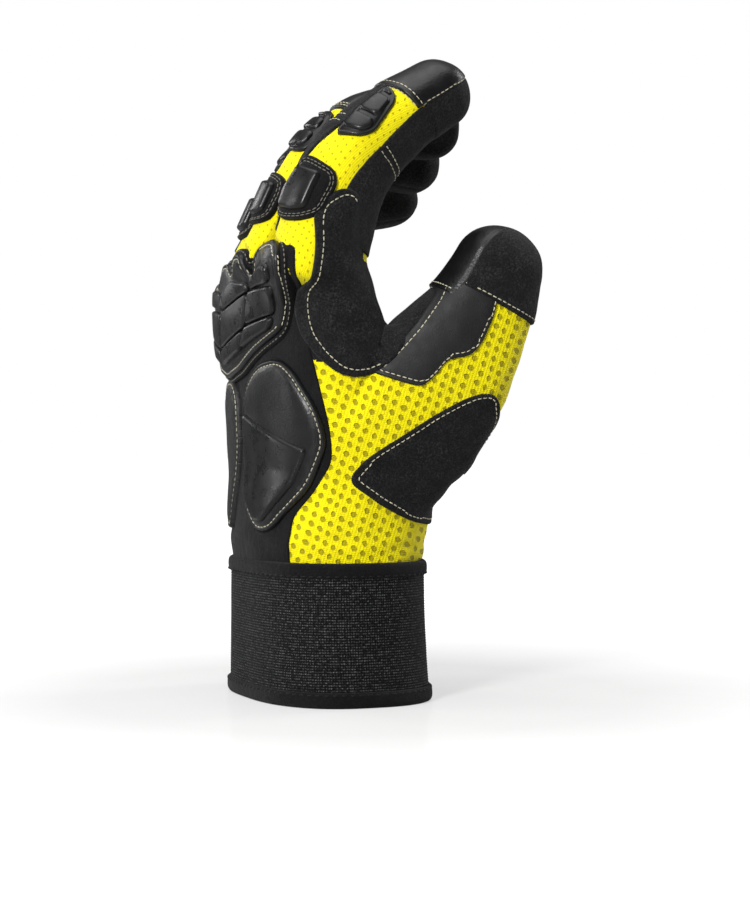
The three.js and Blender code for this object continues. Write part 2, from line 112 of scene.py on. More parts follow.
def run_along(line):
    """The length run from a line's start to each of its points."""
    return np.concatenate([[0], np.cumsum(np.linalg.norm(np.diff(line, axis=0), axis=1))])


def line_at(places, run, line):
    """The points of a line at given lengths along it."""
    return np.stack([np.interp(places, run, line[:, k]) for k in range(line.shape[1])], axis=-1)


def loop_of(ring):
    """A ring closed on itself, and the length run along it."""
    closed = np.vstack([ring, ring[:1]])
    return closed, run_along(closed)


def section(sides, corner):
    """Points of a rounded section of half width 1, as two arrays."""
    angle = np.linspace(0, 2 * math.pi, sides, endpoint=False)
    c, s = np.cos(angle), np.sin(angle)
    return np.sign(c) * np.abs(c) ** (2 / corner), np.sign(s) * np.abs(s) ** (2 / corner)


class Limb:
    """A finger or the thumb. A place on it is (s, w): s along from the root joint, w round from mid-back."""

    def __init__(self, points, thick, broad, curl=1, roll=0, slab=(-FREE, FREE), root=1):
        self.points = [np.array(p, float) for p in points]
        self.thick, self.broad = thick, broad
        self.curl, self.roll, self.slab = curl, math.radians(roll), slab
        self.steps = np.linspace(0, 1, 241)
        line = np.array([self.centre(t) for t in self.steps])
        length = loop_of(line)[1][:-1]
        self.root_share = root / (len(points) - 1)
        self.length = length - np.interp(self.root_share, self.steps, length)
        self.end = self.length[-1]
        self.rings = {}

    def centre(self, share):
        p = self.points
        place = (len(p) - 1) * share
        i = min(int(place), len(p) - 2)
        t = place - i
        b, c = p[i], p[i + 1]
        a = p[i - 1] if i > 0 else 2 * b - c
        d = p[i + 2] if i + 2 < len(p) else 2 * c - b
        ab, bc, cd = (np.linalg.norm(k) ** 0.5 for k in (b - a, c - b, d - c))
        m1 = ((b - a) / ab - (c - a) / (ab + bc) + (c - b) / bc) * bc
        m2 = ((c - b) / bc - (d - b) / (bc + cd) + (d - c) / cd) * bc
        return b + m1 * t + (3 * (c - b) - 2 * m1 - m2) * t**2 + (2 * (b - c) + m1 + m2) * t**3

    def frame(self, share):
        """Centre, along, towards the closing side, and across."""
        along = unit(self.centre(min(share + 2e-3, 1)) - self.centre(max(share - 2e-3, 0)))
        inward = unit(np.array([along[2], 0, -along[0]]) * self.curl)
        across = inward * math.cos(self.roll) + np.cross(along, inward) * math.sin(self.roll)
        return self.centre(share), along, across, np.cross(along, across)

    def ring(self, share, offset=0.0, sides=72, shrink=1.0, ahead=0.0):
        centre, along, across, side = self.frame(share)
        places = np.linspace(0, 1, len(self.thick))
        thick, broad = np.interp(share, places, self.thick), np.interp(share, places, self.broad)
        c, s = section(sides, LIMB_CORNER)
        points = centre + along * ahead - np.outer(c * (thick + offset) * shrink, across)
        points -= np.outer(s * (broad + offset) * shrink, side)
        inset = 1.05 if offset < 0 else 0
        points[:, 1] = np.clip(points[:, 1], self.slab[0] + inset, self.slab[1] - inset)
        return points

    def share_at(self, s):
        return float(np.interp(s, self.length, self.steps))

    def girth(self, s):
        """The limb's section there: centre, along, the ring about the centre, and the run round it."""
        key = round(self.share_at(s) * 480)
        if key not in self.rings:
            centre, along = self.frame(key / 480)[:2]
            closed, run = loop_of(self.ring(key / 480, -0.7, 120))
            self.rings[key] = (centre, along, closed - centre, run)
        return self.rings[key]

    def ray(self, s, w):
        _, along, rel, run = self.girth(s)
        w = w % run[-1]
        direction = unit(line_at(w, run, rel))
        if s > self.end:
            lean = min((s - self.end) / self.thick[-1], math.pi / 2)
            direction = unit(direction * math.cos(lean) + along * math.sin(lean))
        return self.centre(self.share_at(s)), direction

    def places(self, points):
        """(s, w) and the distance from the centre line, for an array of points."""
        line = np.array([self.centre(t) for t in self.steps])
        nearest = np.empty(len(points), int)
        far = np.empty(len(points))
        for i in range(0, len(points), 4000):
            gap = np.linalg.norm(points[i:i + 4000, None] - line[None], axis=2)
            nearest[i:i + 4000], far[i:i + 4000] = gap.argmin(1), gap.min(1)
        s, w = np.empty(len(points)), np.empty(len(points))
        for k in np.unique(nearest):
            centre, along, across, side = self.frame(self.steps[k])
            here = nearest == k
            rel = points[here] - centre
            s[here] = self.length[k] + rel @ along
            _, _, ring, run = self.girth(self.length[k])
            turn = np.arctan2(-(ring @ side), -(ring @ across))
            turn[-1] = 2 * math.pi
            turn[:-1] %= 2 * math.pi
            turn[0] = 0
            angle = np.arctan2(-(rel @ side), -(rel @ across)) % (2 * math.pi)
            w[here] = np.interp(angle, np.maximum.accumulate(turn), run)
            w[here] -= np.where(w[here] > run[-1] / 2, run[-1], 0)
        return s, w, far


def finger_limb(name):
    *joints, roll, slab = FINGERS[name]
    joints = [np.array(p, float) for p in joints]
    tail = joints[0] - unit(joints[1] - joints[0]) * FINGER_TAIL
    sizes = (FINGER_THICK, FINGER_BROAD[name])
    thick, broad = ([v * FINGER_SIZE[name] for v in values] for values in sizes)
    return Limb([tail] + joints, thick, broad, roll=roll, slab=slab)


LIMBS = {name: finger_limb(name) for name in FINGERS}
LIMBS["thumb"] = Limb(THUMB, THUMB_THICK, THUMB_BROAD, curl=-1, root=2)


def hand_ring(z, offset, sides=96):
    x, half_x, half_y, turn = (np.interp(z, HAND[:, 0], HAND[:, k]) for k in (1, 2, 3, 4))
    turn = math.radians(turn)
    c, s = section(sides, HAND_CORNER)
    points = np.array([x, 0, z]) - np.outer(c * (half_x + offset), [math.cos(turn), math.sin(turn), 0])
    return points - np.outer(s * (half_y + offset), [-math.sin(turn), math.cos(turn), 0])


def hand_ray(w, z):
    """Where a ray for a place round the hand starts, and its direction. w runs round from mid-back."""
    closed, run = loop_of(hand_ring(z, 0, 240))
    point = line_at(w % run[-1], run, closed)
    start = np.array([np.interp(z, HAND[:, 0], HAND[:, 1]), point[1] * 0.55, z])
    point[2] = z
    return start, unit(point - start)


def side_ray(x, z):
    """A ray across the hand from beyond the thumb's side."""
    return np.array([x, -200.0, z]), np.array([0.0, 1.0, 0.0])


def back_place(y, z):
    """The place round the hand of a point on its back, from its y."""
    closed, run = loop_of(hand_ring(z, 0, 960))
    half = len(run) // 4
    order = np.concatenate([np.arange(-half, 0), np.arange(0, half)])
    ys = closed[:-1][order][:, 1]
    runs = np.where(order < 0, run[:-1][order] - run[-1], run[:-1][order])
    return float(np.interp(-y, -ys, runs)), float(z)


# ---------------------------------------------------------------- meshes

MATERIALS = {}
# cloth coordinates are in centimetres
CLOTH_UNIT = 10
# how far the cloth's form stays inside the drawn one
SKIN_INSET = 0.8


def placed(name, data):
    """A new object in the scene."""
    thing = bpy.data.objects.new(name, data)
    bpy.context.scene.collection.objects.link(thing)
    return thing


def add_mesh(name, points, faces, material, uvs=None, face_materials=None):
    mesh = bpy.data.meshes.new(name)
    mesh.from_pydata(((np.asarray(points) + SHIFT) / 1000).tolist(), [], faces)
    for m in material if isinstance(material, (list, tuple)) else [material]:
        mesh.materials.append(MATERIALS[m])
    if face_materials is not None:
        mesh.polygons.foreach_set("material_index", face_materials)
    if uvs is not None:
        layer = mesh.uv_layers.new(name="UVMap")
        corners = np.empty(len(mesh.loops), np.int32)
        mesh.loops.foreach_get("vertex_index", corners)
        layer.data.foreach_set("uv", (np.asarray(uvs) / CLOTH_UNIT).astype(np.float32)[corners].ravel())
    mesh.polygons.foreach_set("use_smooth", [True] * len(mesh.polygons))
    mesh.validate()
    return placed(name, mesh)


def grid_faces(rows, columns, start=0, closed=True):
    faces = []
    for i in range(rows - 1):
        for j in range(columns if closed else columns - 1):
            a, b = start + i * columns + j, start + i * columns + (j + 1) % columns
            faces.append((a, b, b + columns, a + columns))
    return faces


def loft(rings):
    """Rings joined in order and closed at both ends."""
    sides = len(rings[0])
    points = np.vstack(rings + [[rings[0].mean(0)], [rings[-1].mean(0)]])
    faces = grid_faces(len(rings), sides)
    first, last = len(points) - 2, len(points) - 1
    end = (len(rings) - 1) * sides
    for j in range(sides):
        k = (j + 1) % sides
        faces += [(first, k, j), (last, end + j, end + k)]
    return points, faces


def limb_loft(limb, offset):
    rings = [limb.ring(t, offset, 64) for t in np.linspace(0, 1, 50)]
    depth = min(limb.thick[-1], limb.broad[-1]) + offset
    for t in np.linspace(0, 1, 10)[1:-1]:
        lean = t * math.pi / 2
        rings.append(limb.ring(1, offset, 64, shrink=math.cos(lean), ahead=depth * math.sin(lean)))
    rings.append(limb.ring(1, offset, 64, shrink=0.06, ahead=depth))
    return loft(rings)


def hand_loft(offset):
    rings = []
    for z in np.linspace(41, 148, 60):
        ring = hand_ring(z, offset)
        full = unit_rows((ring - [HAND[0, 1], 0, z]) * [1 / 28, 1 / 41, 0])
        wrist = np.clip((82 - z) / 26, 0, 1) ** 0.7
        thumb_side = np.clip(full @ THUMB_WAY, 0, 1)[:, None]
        rings.append(ring + full * wrist * (1.0 + 2.2 * thumb_side**2))
    for t in np.linspace(0, 1, 8)[1:]:
        lean = t * math.pi / 2 * 0.93
        ring = hand_ring(148 + 7.5 * math.sin(lean), offset)
        centre = ring.mean(0)
        rings.append(centre + (ring - centre) * np.array([math.cos(lean), 0.86 + 0.14 * math.cos(lean), 1]))
    return loft(rings)


def read_mesh(mesh):
    points = np.empty(len(mesh.vertices) * 3, np.float32)
    mesh.vertices.foreach_get("co", points)
    return points.reshape(-1, 3).astype(float), [tuple(p.vertices) for p in mesh.polygons]


def merged_skin(voxel=0.85, smoothing=9):
    """The hand, thumb and fingers run together into one skin, softened as cloth over a form."""
    parts = [hand_loft(-SKIN_INSET)] + [limb_loft(limb, -SKIN_INSET) for limb in LIMBS.values()]
    points, faces = [], []
    for part_points, part_faces in parts:
        start = sum(map(len, points))
        points.append(part_points)
        faces += [tuple(i + start for i in f) for f in part_faces]
    mesh = bpy.data.meshes.new("skin")
    mesh.from_pydata(np.vstack(points).tolist(), [], faces)
    whole = placed("skin", mesh)
    remesh = whole.modifiers.new("remesh", "REMESH")
    remesh.mode = "VOXEL"
    remesh.voxel_size = voxel
    soft = whole.modifiers.new("soft", "SMOOTH")
    soft.iterations = smoothing
    soft.factor = 0.5
    made = whole.evaluated_get(bpy.context.evaluated_depsgraph_get()).to_mesh()
    result = read_mesh(made)
    bpy.data.objects.remove(whole)
    return result


def vertex_normals(points, faces):
    normals = np.zeros_like(points)
    tri = np.array([f[:3] for f in faces])
    n = np.cross(points[tri[:, 1]] - points[tri[:, 0]], points[tri[:, 2]] - points[tri[:, 0]])
    for k in range(3):
        np.add.at(normals, tri[:, k], n)
    if len(faces[0]) == 4:
        fourth = np.array([f[3] for f in faces if len(f) == 4])
        np.add.at(normals, fourth, n[[len(f) == 4 for f in faces]])
    return unit_rows(normals)


def edge_pairs(faces):
    """The two ends of each side of each face, both ways round."""
    pairs = np.array([(f[i], f[(i + 1) % len(f)]) for f in faces for i in range(len(f))])
    return np.vstack([pairs, pairs[:, ::-1]])


def neighbour_mean(points, pairs):
    """The middle of the points that each point is joined to."""
    count = np.maximum(np.bincount(pairs[:, 0], minlength=len(points)), 1)[:, None]
    sums = [np.bincount(pairs[:, 0], points[pairs[:, 1], k], len(points)) for k in range(3)]
    return np.column_stack(sums) / count


def skin_hit(origin, direction):
    """Where a ray meets the skin, or None."""
    return SKIN.ray_cast(Vector(origin), Vector(direction))[0]


def bump(value, centre, width):
    return np.exp(-(((value - centre) / width) ** 2))


def wave(point, size, seed=0.0):
    """Smooth noise between about -1 and 1 that changes over `size` millimetres."""
    return noise.noise(Vector((point[0] / size + seed, point[1] / size - seed, point[2] / size + 3 * seed)))


# ---------------------------------------------------------------- patches laid on the skin

def rounded(outline, corner, step=0.9):
    """An outline with its corners rounded, as evenly spaced points."""
    corners = np.asarray(outline, float)
    path = []
    for a, b, c in zip(np.roll(corners, 1, 0), corners, np.roll(corners, -1, 0)):
        reach = [min(corner, np.linalg.norm(k - b) * 0.45) for k in (a, c)]
        start, stop = b + unit(a - b) * reach[0], b + unit(c - b) * reach[1]
        for t in np.linspace(0, 1, 7):
            path.append(start * (1 - t) ** 2 + 2 * b * t * (1 - t) + stop * t**2)
    path = np.array(path)
    closed, run = loop_of(path)
    places = np.linspace(0, run[-1], max(12, int(run[-1] / step)), endpoint=False)
    path = line_at(places, run, closed)
    x, y = path.T
    area = np.sum(x * np.roll(y, -1) - np.roll(x, -1) * y)
    return path if area > 0 else path[::-1]


def edge_distance(points, path, live=None):
    """How far each point is from a closed outline, or from the sides of it that are `live`."""
    span = np.roll(path, -1, 0) - path
    if live is not None:
        path, span = path[live], span[live]
    squared = np.maximum((span**2).sum(1), 1e-12)
    best = np.full(len(points), 1e9)
    for i in range(0, len(points), 2000):
        rel = points[i:i + 2000, None] - path[None]
        t = np.clip((rel * span).sum(2) / squared, 0, 1)
        best[i:i + 2000] = np.linalg.norm(rel - span * t[..., None], axis=2).min(1)
    return best


def contained(points, path):
    """Which of the points lie inside a closed outline."""
    x, y = points.T
    inside = np.zeros(len(points), bool)
    for (ax, ay), (bx, by) in zip(path, np.roll(path, -1, 0)):
        crosses = (ay > y) != (by > y)
        inside ^= crosses & (x < (bx - ax) * (y - ay) / (by - ay if by != ay else 1e-12) + ax)
    return inside


def inset(path, depth):
    """The outline moved inward, without the places where it would run into itself."""
    along = unit_rows(np.roll(path, -1, 0) - np.roll(path, 1, 0))
    moved = path + np.column_stack([-along[:, 1], along[:, 0]]) * depth
    return moved[edge_distance(moved, path) > depth * 0.96]


# A height profile takes the distance from the edge and the places, and gives the height over the skin.


def turned(thick, roll=0.6, start=-0.25):
    """A cloth edge turned under: up from `start` in a quarter circle."""
    def height(d, uv):
        t = 1 - np.clip(d / roll, 0, 1)
        return start + (thick - start) * np.sqrt(1 - t**2)
    return height


def moulded(base, top, roll, dome=0.25, spread=4):
    """A moulded block: its wall up from `base` in a quarter circle to a slightly domed `top`."""
    def height(d, uv):
        return turned(top, roll, base)(d, uv) + dome * (1 - np.exp(-d / spread))
    return height


def swollen(base, rise, reach):
    """The same, filled so that it swells towards its middle."""
    def height(d, uv):
        t = 1 - np.clip(d / reach, 0, 1)
        return base(d, uv) + rise * (1 - t**2.2)
    return height


def grooved(base, at, width, depth):
    """The same, with a stitched groove that runs beside the edge."""
    def height(d, uv):
        return base(d, uv) - depth * bump(d, at, width)
    return height


class Bed:
    """A smooth ground for the guard: the skin's reach along the rays of the hand, its dips filled."""

    def __init__(self, low, high, grow=3, blur=3.2):
        self.low = np.array(low, float)
        size = np.array(high) - low + 1
        far = np.zeros(size)
        for i, j in np.ndindex(*size):
            origin, direction = hand_ray(low[0] + i, low[1] + j)
            location = skin_hit(origin, direction)
            far[i, j] = np.nan if location is None else (location - Vector(origin)).length
        far = np.where(np.isnan(far), np.nanmedian(far), far)
        grown = np.pad(far, grow, mode="edge")
        shifts = range(2 * grow + 1)
        far = np.max([grown[a:a + size[0], b:b + size[1]] for a in shifts for b in shifts], axis=0)
        reach = int(3 * blur)
        weights = np.exp(-((np.arange(-reach, reach + 1) / blur) ** 2) / 2)
        for axis in (0, 1):
            margin = [(reach, reach) if k == axis else (0, 0) for k in (0, 1)]
            padded = np.pad(far, margin, mode="edge")
            rows = [padded.take(range(k, k + size[axis]), axis) * w for k, w in enumerate(weights)]
            far = sum(rows) / weights.sum()
        self.far = far

    def place(self, w, z):
        """The point of the ground at a place round the hand."""
        u, v = np.clip(np.array([w, z]) - self.low, 0, np.array(self.far.shape) - 1.001)
        i, j = int(u), int(v)
        a, b = u - i, v - j
        lower, upper = (self.far[i + k, j] * (1 - b) + self.far[i + k, j + 1] * b for k in (0, 1))
        origin, direction = hand_ray(w, z)
        return tuple(origin + direction * (lower * (1 - a) + upper * a))


class Patch:
    """A piece laid on the skin, from an outline in the places of `ray`.

    `rings` are extra rows of points beside the edge, for a groove. `fade` lets the piece sink into the skin,
    `hidden` tells which sides of the outline have no turned edge, and `bed` takes the place of the skin.
    """

    def __init__(self, name, ray, outline, height, material, corner=2.0, grid=1.3, rings=(), fade=None,
                 lumps=0.0, under=0.8, smooth=3, hidden=None, bed=None):
        self.name, self.ray, self.bed = name, ray, bed
        self.path = rounded(outline, corner, min(0.9, grid))
        levels = [0.12, 0.3, 0.55, 0.9, *rings]
        rows = [self.path] + [inset(self.path, level) for level in levels]
        deep = max(levels) + grid * 0.55
        low, high = self.path.min(0), self.path.max(0)
        us, vs = np.arange(low[0], high[0], grid), np.arange(low[1], high[1], grid * 0.87)
        inner = np.array([(u + grid / 2 * (j % 2), v) for j, v in enumerate(vs) for u in us])
        inner = inner[contained(inner, self.path)]
        inner = inner[edge_distance(inner, self.path) > deep]
        flat = np.vstack(rows + [inner])
        n = len(self.path)
        edges = [(i, (i + 1) % n) for i in range(n)]
        made = geometry.delaunay_2d_cdt([Vector(p) for p in flat], edges, [], 1, 1e-4)
        uv = np.array([tuple(v) for v in made[0]])
        faces = [tuple(f) for f in made[2]]
        hits = [self.hit(u, v) for u, v in uv]
        kept = np.array([h is not None for h in hits])
        base = np.array([h if h is not None else (0, 0, 0) for h in hits])
        faces = [f for f in faces if kept[list(f)].all() and self.spread(base, f) < 5 * grid]
        used = sorted({i for f in faces for i in f})
        index = {old: new for new, old in enumerate(used)}
        faces = [tuple(index[i] for i in f) for f in faces]
        base, uv = base[used], uv[used]
        out = np.array([self.outward(*p) for p in uv])
        base = self.relaxed(base, faces, smooth)
        normals = vertex_normals(base, faces)
        if (normals * out).sum() < 0:
            faces = [f[::-1] for f in faces]
            normals = -normals
        live = None if hidden is None else ~hidden((self.path + np.roll(self.path, -1, 0)) / 2)
        d = edge_distance(uv, self.path, live)
        d[d < 1e-3] = 0
        h = height(d, uv)
        if lumps:
            unevenness = np.array([wave(p, 7.0, 1.7) + 0.5 * wave(p, 3.1, 5.1) for p in base])
            h = h + lumps * np.clip(d / 2, 0, 1) * unevenness
        if fade is not None:
            share = np.clip(fade(uv), 0, 1)
            h = h * share - 0.5 * (1 - share)
        self.points = base + normals * h[:, None]
        self.faces, self.uv = faces, uv
        self.tree = BVHTree.FromPolygons(self.points.tolist(), faces)
        self.add_wall(base, normals, h, under)
        self.object = add_mesh(name, self.points, self.faces, material, self.uv)

    def hit(self, u, v):
        if self.bed is not None:
            return self.bed.place(u, v)
        location = skin_hit(*self.ray(u, v))
        return None if location is None else tuple(location)

    def outward(self, u, v):
        direction = self.ray(u, v)[1]
        return -direction if self.ray is side_ray else direction

    @staticmethod
    def spread(base, face):
        a, b, c = base[list(face)]
        return max(np.linalg.norm(a - b), np.linalg.norm(b - c), np.linalg.norm(c - a))

    @staticmethod
    def relaxed(base, faces, times):
        """The patch drawn smooth. Points move only in and out, so that the outline keeps its shape."""
        pairs = edge_pairs(faces)
        for _ in range(times):
            normals = vertex_normals(base, faces)
            mean = neighbour_mean(base, pairs)
            base = base + 0.5 * normals * ((mean - base) * normals).sum(1)[:, None]
        return base

    def add_wall(self, base, normals, h, under):
        """A wall from the patch's rim down into the skin."""
        uses = {}
        for f in self.faces:
            for i in range(3):
                a, b = f[i], f[(i + 1) % 3]
                uses[(a, b)] = uses.get((a, b), 0) + 1
        rim = [e for e in uses if e[::-1] not in uses]
        corners = sorted({i for e in rim for i in e})
        lower = {i: len(self.points) + k for k, i in enumerate(corners)}
        drop = base[corners] + normals[corners] * (np.minimum(h[corners], 0) - under)[:, None]
        self.points = np.vstack([self.points, drop])
        self.uv = np.vstack([self.uv, self.uv[corners]])
        self.faces += [(b, a, lower[a], lower[b]) for a, b in rim]

    def surface(self, u, v):
        """The patch's own surface at a place: point and normal."""
        spot = self.hit(u, v)
        if spot is None:
            return None
        out = Vector(self.outward(u, v))
        location, normal, _, gap = self.tree.find_nearest(Vector(spot) + out * 2)
        if location is None or gap > 7:
            return None
        return np.array(location), np.array(normal if normal.dot(out) > 0 else -normal)


def unbroken(rows):
    """The rows cut at their gaps, leaving out runs too short to sew."""
    for row in rows:
        run = []
        for spot in [*row, None]:
            if spot is not None:
                run.append(spot)
                continue
            if len(run) > 3:
                yield run
            run = []


# along a stitch as a share of its length, then its width and its lift as shares of its radius
STITCH = ((-0.5, 0.35, -0.45), (-0.32, 0.9, 0.05), (0, 1.05, 0.35), (0.32, 0.9, 0.05), (0.5, 0.35, -0.45))
STITCH_SIDES = 6


def stitches(name, rows, material="thread", pitch=2.0, length=1.6, radius=0.2):
    """Short threads along rows of (point, normal) pairs, their ends drawn down into the cloth."""
    points, faces = [], []
    turns = np.linspace(0, 2 * math.pi, STITCH_SIDES, endpoint=False)
    for row in unbroken(rows):
        spots, normals = np.array([p[0] for p in row]), np.array([p[1] for p in row])
        run = run_along(spots)
        for at in np.arange(pitch / 2, run[-1] - pitch * 0.3, pitch):
            a, m, b = (line_at(at + k, run, spots) for k in (-length / 2, 0, length / 2))
            if not length * 0.5 <= np.linalg.norm(b - a) <= length * 1.4:
                continue
            up = unit(line_at(at, run, normals))
            along = unit(b - a)
            side = unit(np.cross(along, up))
            start = len(points) * STITCH_SIDES
            for t, wide, lift in STITCH:
                centre = m + (b - a) * t + up * lift * radius
                ring = [centre + (side * math.cos(k) + up * math.sin(k)) * wide * radius for k in turns]
                points.append(ring)
            faces += grid_faces(len(STITCH), STITCH_SIDES, start)
            last = start + (len(STITCH) - 1) * STITCH_SIDES
            ends = [tuple(range(k, k + STITCH_SIDES)) for k in (start, last)]
            faces += [ends[0][::-1], ends[1]]
    if not points:
        return None
    return add_mesh(name, np.vstack(points), faces, material)


def dense(path, step=0.6):
    """A line with its points evenly spaced."""
    run = run_along(path)
    return line_at(np.arange(0, run[-1], step), run, path)


def edge_row(patch, depth, keep=None):
    """A row of places on a patch, beside its edge, with None where `keep` leaves a gap."""
    path = dense(loop_of(inset(patch.path, depth))[0])
    kept = np.ones(len(path), bool) if keep is None else keep(path)
    return [patch.surface(u, v) if k else None for (u, v), k in zip(path, kept)]


# ---------------------------------------------------------------- materials

TURN = 2 * math.pi


class Graph:
    """A node material. Inputs are numbers, colours or sockets of earlier nodes."""

    def __init__(self, name, colour, roughness, **uniform):
        self.material = bpy.data.materials.new(name)
        self.material.use_nodes = True
        self.tree = self.material.node_tree
        self.shader = self.tree.nodes["Principled BSDF"]
        self.put(self.shader, "Base Color", colour)
        self.put(self.shader, "Roughness", roughness)
        for key, value in uniform.items():
            self.put(self.shader, key.replace("_", " "), value)
        MATERIALS[name] = self.material

    def put(self, node, key, value):
        socket = node.inputs[key]
        if isinstance(value, bpy.types.NodeSocket):
            self.tree.links.new(value, socket)
        elif isinstance(value, tuple) and len(value) == 3 and socket.type == "RGBA":
            socket.default_value = (*value, 1)
        else:
            socket.default_value = value

    def node(self, kind, inputs=None, out=0, **settings):
        made = self.tree.nodes.new("ShaderNode" + kind)
        for key, value in settings.items():
            setattr(made, key, value)
        for key, value in (inputs or {}).items():
            self.put(made, key, value)
        return made.outputs[out]

    def math(self, operation, a, b=0.0):
        return self.node("Math", {0: a, 1: b}, operation=operation)

    def times(self, a, b):
        return self.math("MULTIPLY", a, b)

    def plus(self, a, b):
        return self.math("ADD", a, b)

    def paint(self, colour):
        self.put(self.shader, "Base Color", colour)

    def waves(self, operation, value, period):
        """A sine or cosine of a cloth coordinate that repeats every `period` millimetres."""
        return self.math(operation, self.times(value, TURN * CLOTH_UNIT / period))

    def span(self, value, low, high, to_low=0.0, to_high=1.0):
        keys = ("Value", "From Min", "From Max", "To Min", "To Max")
        return self.node("MapRange", dict(zip(keys, (value, low, high, to_low, to_high))))

    def mix(self, share, a, b):
        return self.node("Mix", {0: share, 6: a, 7: b}, out=2, data_type="RGBA")

    def noise(self, size, detail=3.0, rough=0.55):
        """Noise whose grains are about `size` millimetres."""
        inputs = {"Scale": 1000 / size, "Detail": detail, "Roughness": rough, "Vector": self.place()}
        return self.node("TexNoise", inputs)

    def cells(self, size):
        """Cells about `size` millimetres across."""
        return self.node("TexVoronoi", {"Scale": 1000 / size, "Vector": self.place()})

    def place(self):
        return self.node("TexCoord", out=3)

    def flat(self):
        """The piece's own cloth coordinates, in centimetres, as two sockets."""
        split = self.node("SeparateXYZ", {0: self.node("TexCoord", out=2)})
        return split, split.node.outputs[1]

    def relief(self, height, strength, distance):
        inputs = {"Height": height, "Strength": strength, "Distance": distance / 1000}
        self.put(self.shader, "Normal", self.node("Bump", inputs))


def make_mesh_cloth(name, pitch, hole, tilt, stretch):
    """Knitted mesh with holes in slanting rows, `pitch` millimetres apart."""
    g = Graph(name, (0.9, 0.86, 0.0), 0.7, Sheen_Weight=0.08, Sheen_Roughness=0.5, Specular_IOR_Level=0.15)
    u, v = g.flat()
    wobble = g.span(g.noise(9, 2), 0.3, 0.7, -0.05, 0.05)
    c, s = math.cos(tilt), math.sin(tilt)
    a = g.plus(g.times(u, c), g.times(v, s))
    b = g.math("SUBTRACT", g.times(v, c), g.times(u, s))
    across = g.waves("COSINE", g.plus(a, wobble), pitch)
    along = g.waves("COSINE", g.math("SUBTRACT", b, wobble), pitch * stretch)
    opening = g.span(g.times(across, along), hole, hole + 0.3)
    knit = g.waves("SINE", g.plus(a, g.times(b, 0.5)), pitch / 3.2)
    yarn = g.times(knit, g.waves("SINE", b, pitch / 4.1))
    fluff = g.noise(0.5, 4)
    tone = g.mix(g.span(g.noise(16, 2), 0.35, 0.65), (0.96, 0.86, 0.0), (0.90, 0.80, 0.0))
    tone = g.mix(g.span(fluff, 0.38, 0.62, 0, 0.45), tone, (0.80, 0.66, 0.0))
    tone = g.mix(g.span(yarn, -0.2, 0.8, 0, 0.22), tone, (0.72, 0.58, 0.0))
    # The holes are painted dark olive, a painted shade for the depth seen through them.
    g.paint(g.mix(g.times(opening, 0.8), tone, (0.30, 0.24, 0.0)))
    fine = g.plus(g.times(yarn, 0.18), g.times(fluff, 0.3))
    g.relief(g.plus(g.math("SUBTRACT", 1.0, opening), fine), 0.9, 0.55)


def make_suede(name, dark, flecks, grain=0.45):
    """Napped cloth with paler flecks, of which `flecks` is the share."""
    g = Graph(name, dark, 0.9, Sheen_Weight=0.06, Sheen_Roughness=0.5, Specular_IOR_Level=0.12)
    nap = g.noise(grain, 4, 0.7)
    tone = g.mix(g.span(g.noise(11, 3), 0.3, 0.7), dark, tuple(k * 1.7 for k in dark))
    speck = g.span(g.noise(0.7, 4, 0.8), 0.46, 0.7, 0, flecks)
    patchy = g.span(g.noise(5, 3), 0.35, 0.65, 0.35, 1.0)
    g.paint(g.mix(g.times(speck, patchy), tone, (0.07, 0.07, 0.07)))
    g.relief(g.plus(nap, g.times(g.noise(2.4, 3), 1.4)), 1.0, 0.3)


def make_leather(name, dark, roughness, grain, holes=0.0, relief=0.45):
    """Pebbled leather or rubber. `holes` is the distance between pricked holes, if it has any."""
    g = Graph(name, dark, roughness, Specular_IOR_Level=0.36)
    pebble = g.cells(grain)
    wear = g.span(g.noise(9, 4), 0.35, 0.7)
    tone = g.mix(wear, dark, tuple(k * 1.6 for k in dark))
    g.put(g.shader, "Roughness", g.span(g.noise(4, 4), 0.3, 0.7, roughness - 0.07, roughness + 0.09))
    height = g.plus(pebble, g.times(g.noise(0.35, 3), 0.5))
    if holes:
        across, along = (g.waves("COSINE", place, holes) for place in g.flat())
        pricked = g.span(g.times(across, along), 0.55, 0.8)
        # The pricked holes are painted near black, a painted shade inside them.
        tone = g.mix(pricked, tone, (0.004, 0.004, 0.004))
        height = g.math("SUBTRACT", height, g.times(pricked, 2.0))
    g.paint(tone)
    g.relief(height, relief, 0.12)


def make_elastic(strand=0.9, rib=0.916):
    """Ribbed elastic with pale broken strands, brightest on the rib crests as a painted highlight."""
    g = Graph("elastic", (0.005, 0.005, 0.0055), 0.7, Sheen_Weight=0.02, Specular_IOR_Level=0.12)
    u, v = g.flat()
    strands = g.waves("SINE", u, strand)
    # `ribs` is high on the rib crests, where the strands are painted brighter: a painted highlight.
    ribs = g.span(g.waves("SINE", v, rib), -0.6, 0.8)
    spark = g.span(g.noise(0.75, 3, 0.7), 0.46, 0.62, 0.02, 1.0)
    # `lit` is partly the strands' own pale colour and partly the painted highlight on the rib crests.
    lit = g.times(g.times(spark, g.span(strands, -1.6, 0.9)), ribs)
    g.paint(g.mix(lit, (0.002, 0.002, 0.0022), (0.13, 0.13, 0.135)))
    g.relief(g.plus(strands, g.noise(0.4, 3)), 0.6, 0.12)


def make_threads():
    pale = Graph("thread", (0.62, 0.58, 0.4), 0.6, Sheen_Weight=0.2)
    wear = pale.span(pale.noise(3, 3), 0.3, 0.7)
    pale.paint(pale.mix(wear, (0.66, 0.61, 0.42), (0.36, 0.34, 0.25)))
    dark = Graph("thread_dark", (0.16, 0.15, 0.12), 0.6)
    black = Graph("thread_black", (0.004, 0.004, 0.004), 0.6, Specular_IOR_Level=0.25)
    for g in (pale, dark, black):
        g.relief(g.noise(0.2, 3), 0.7, 0.08)


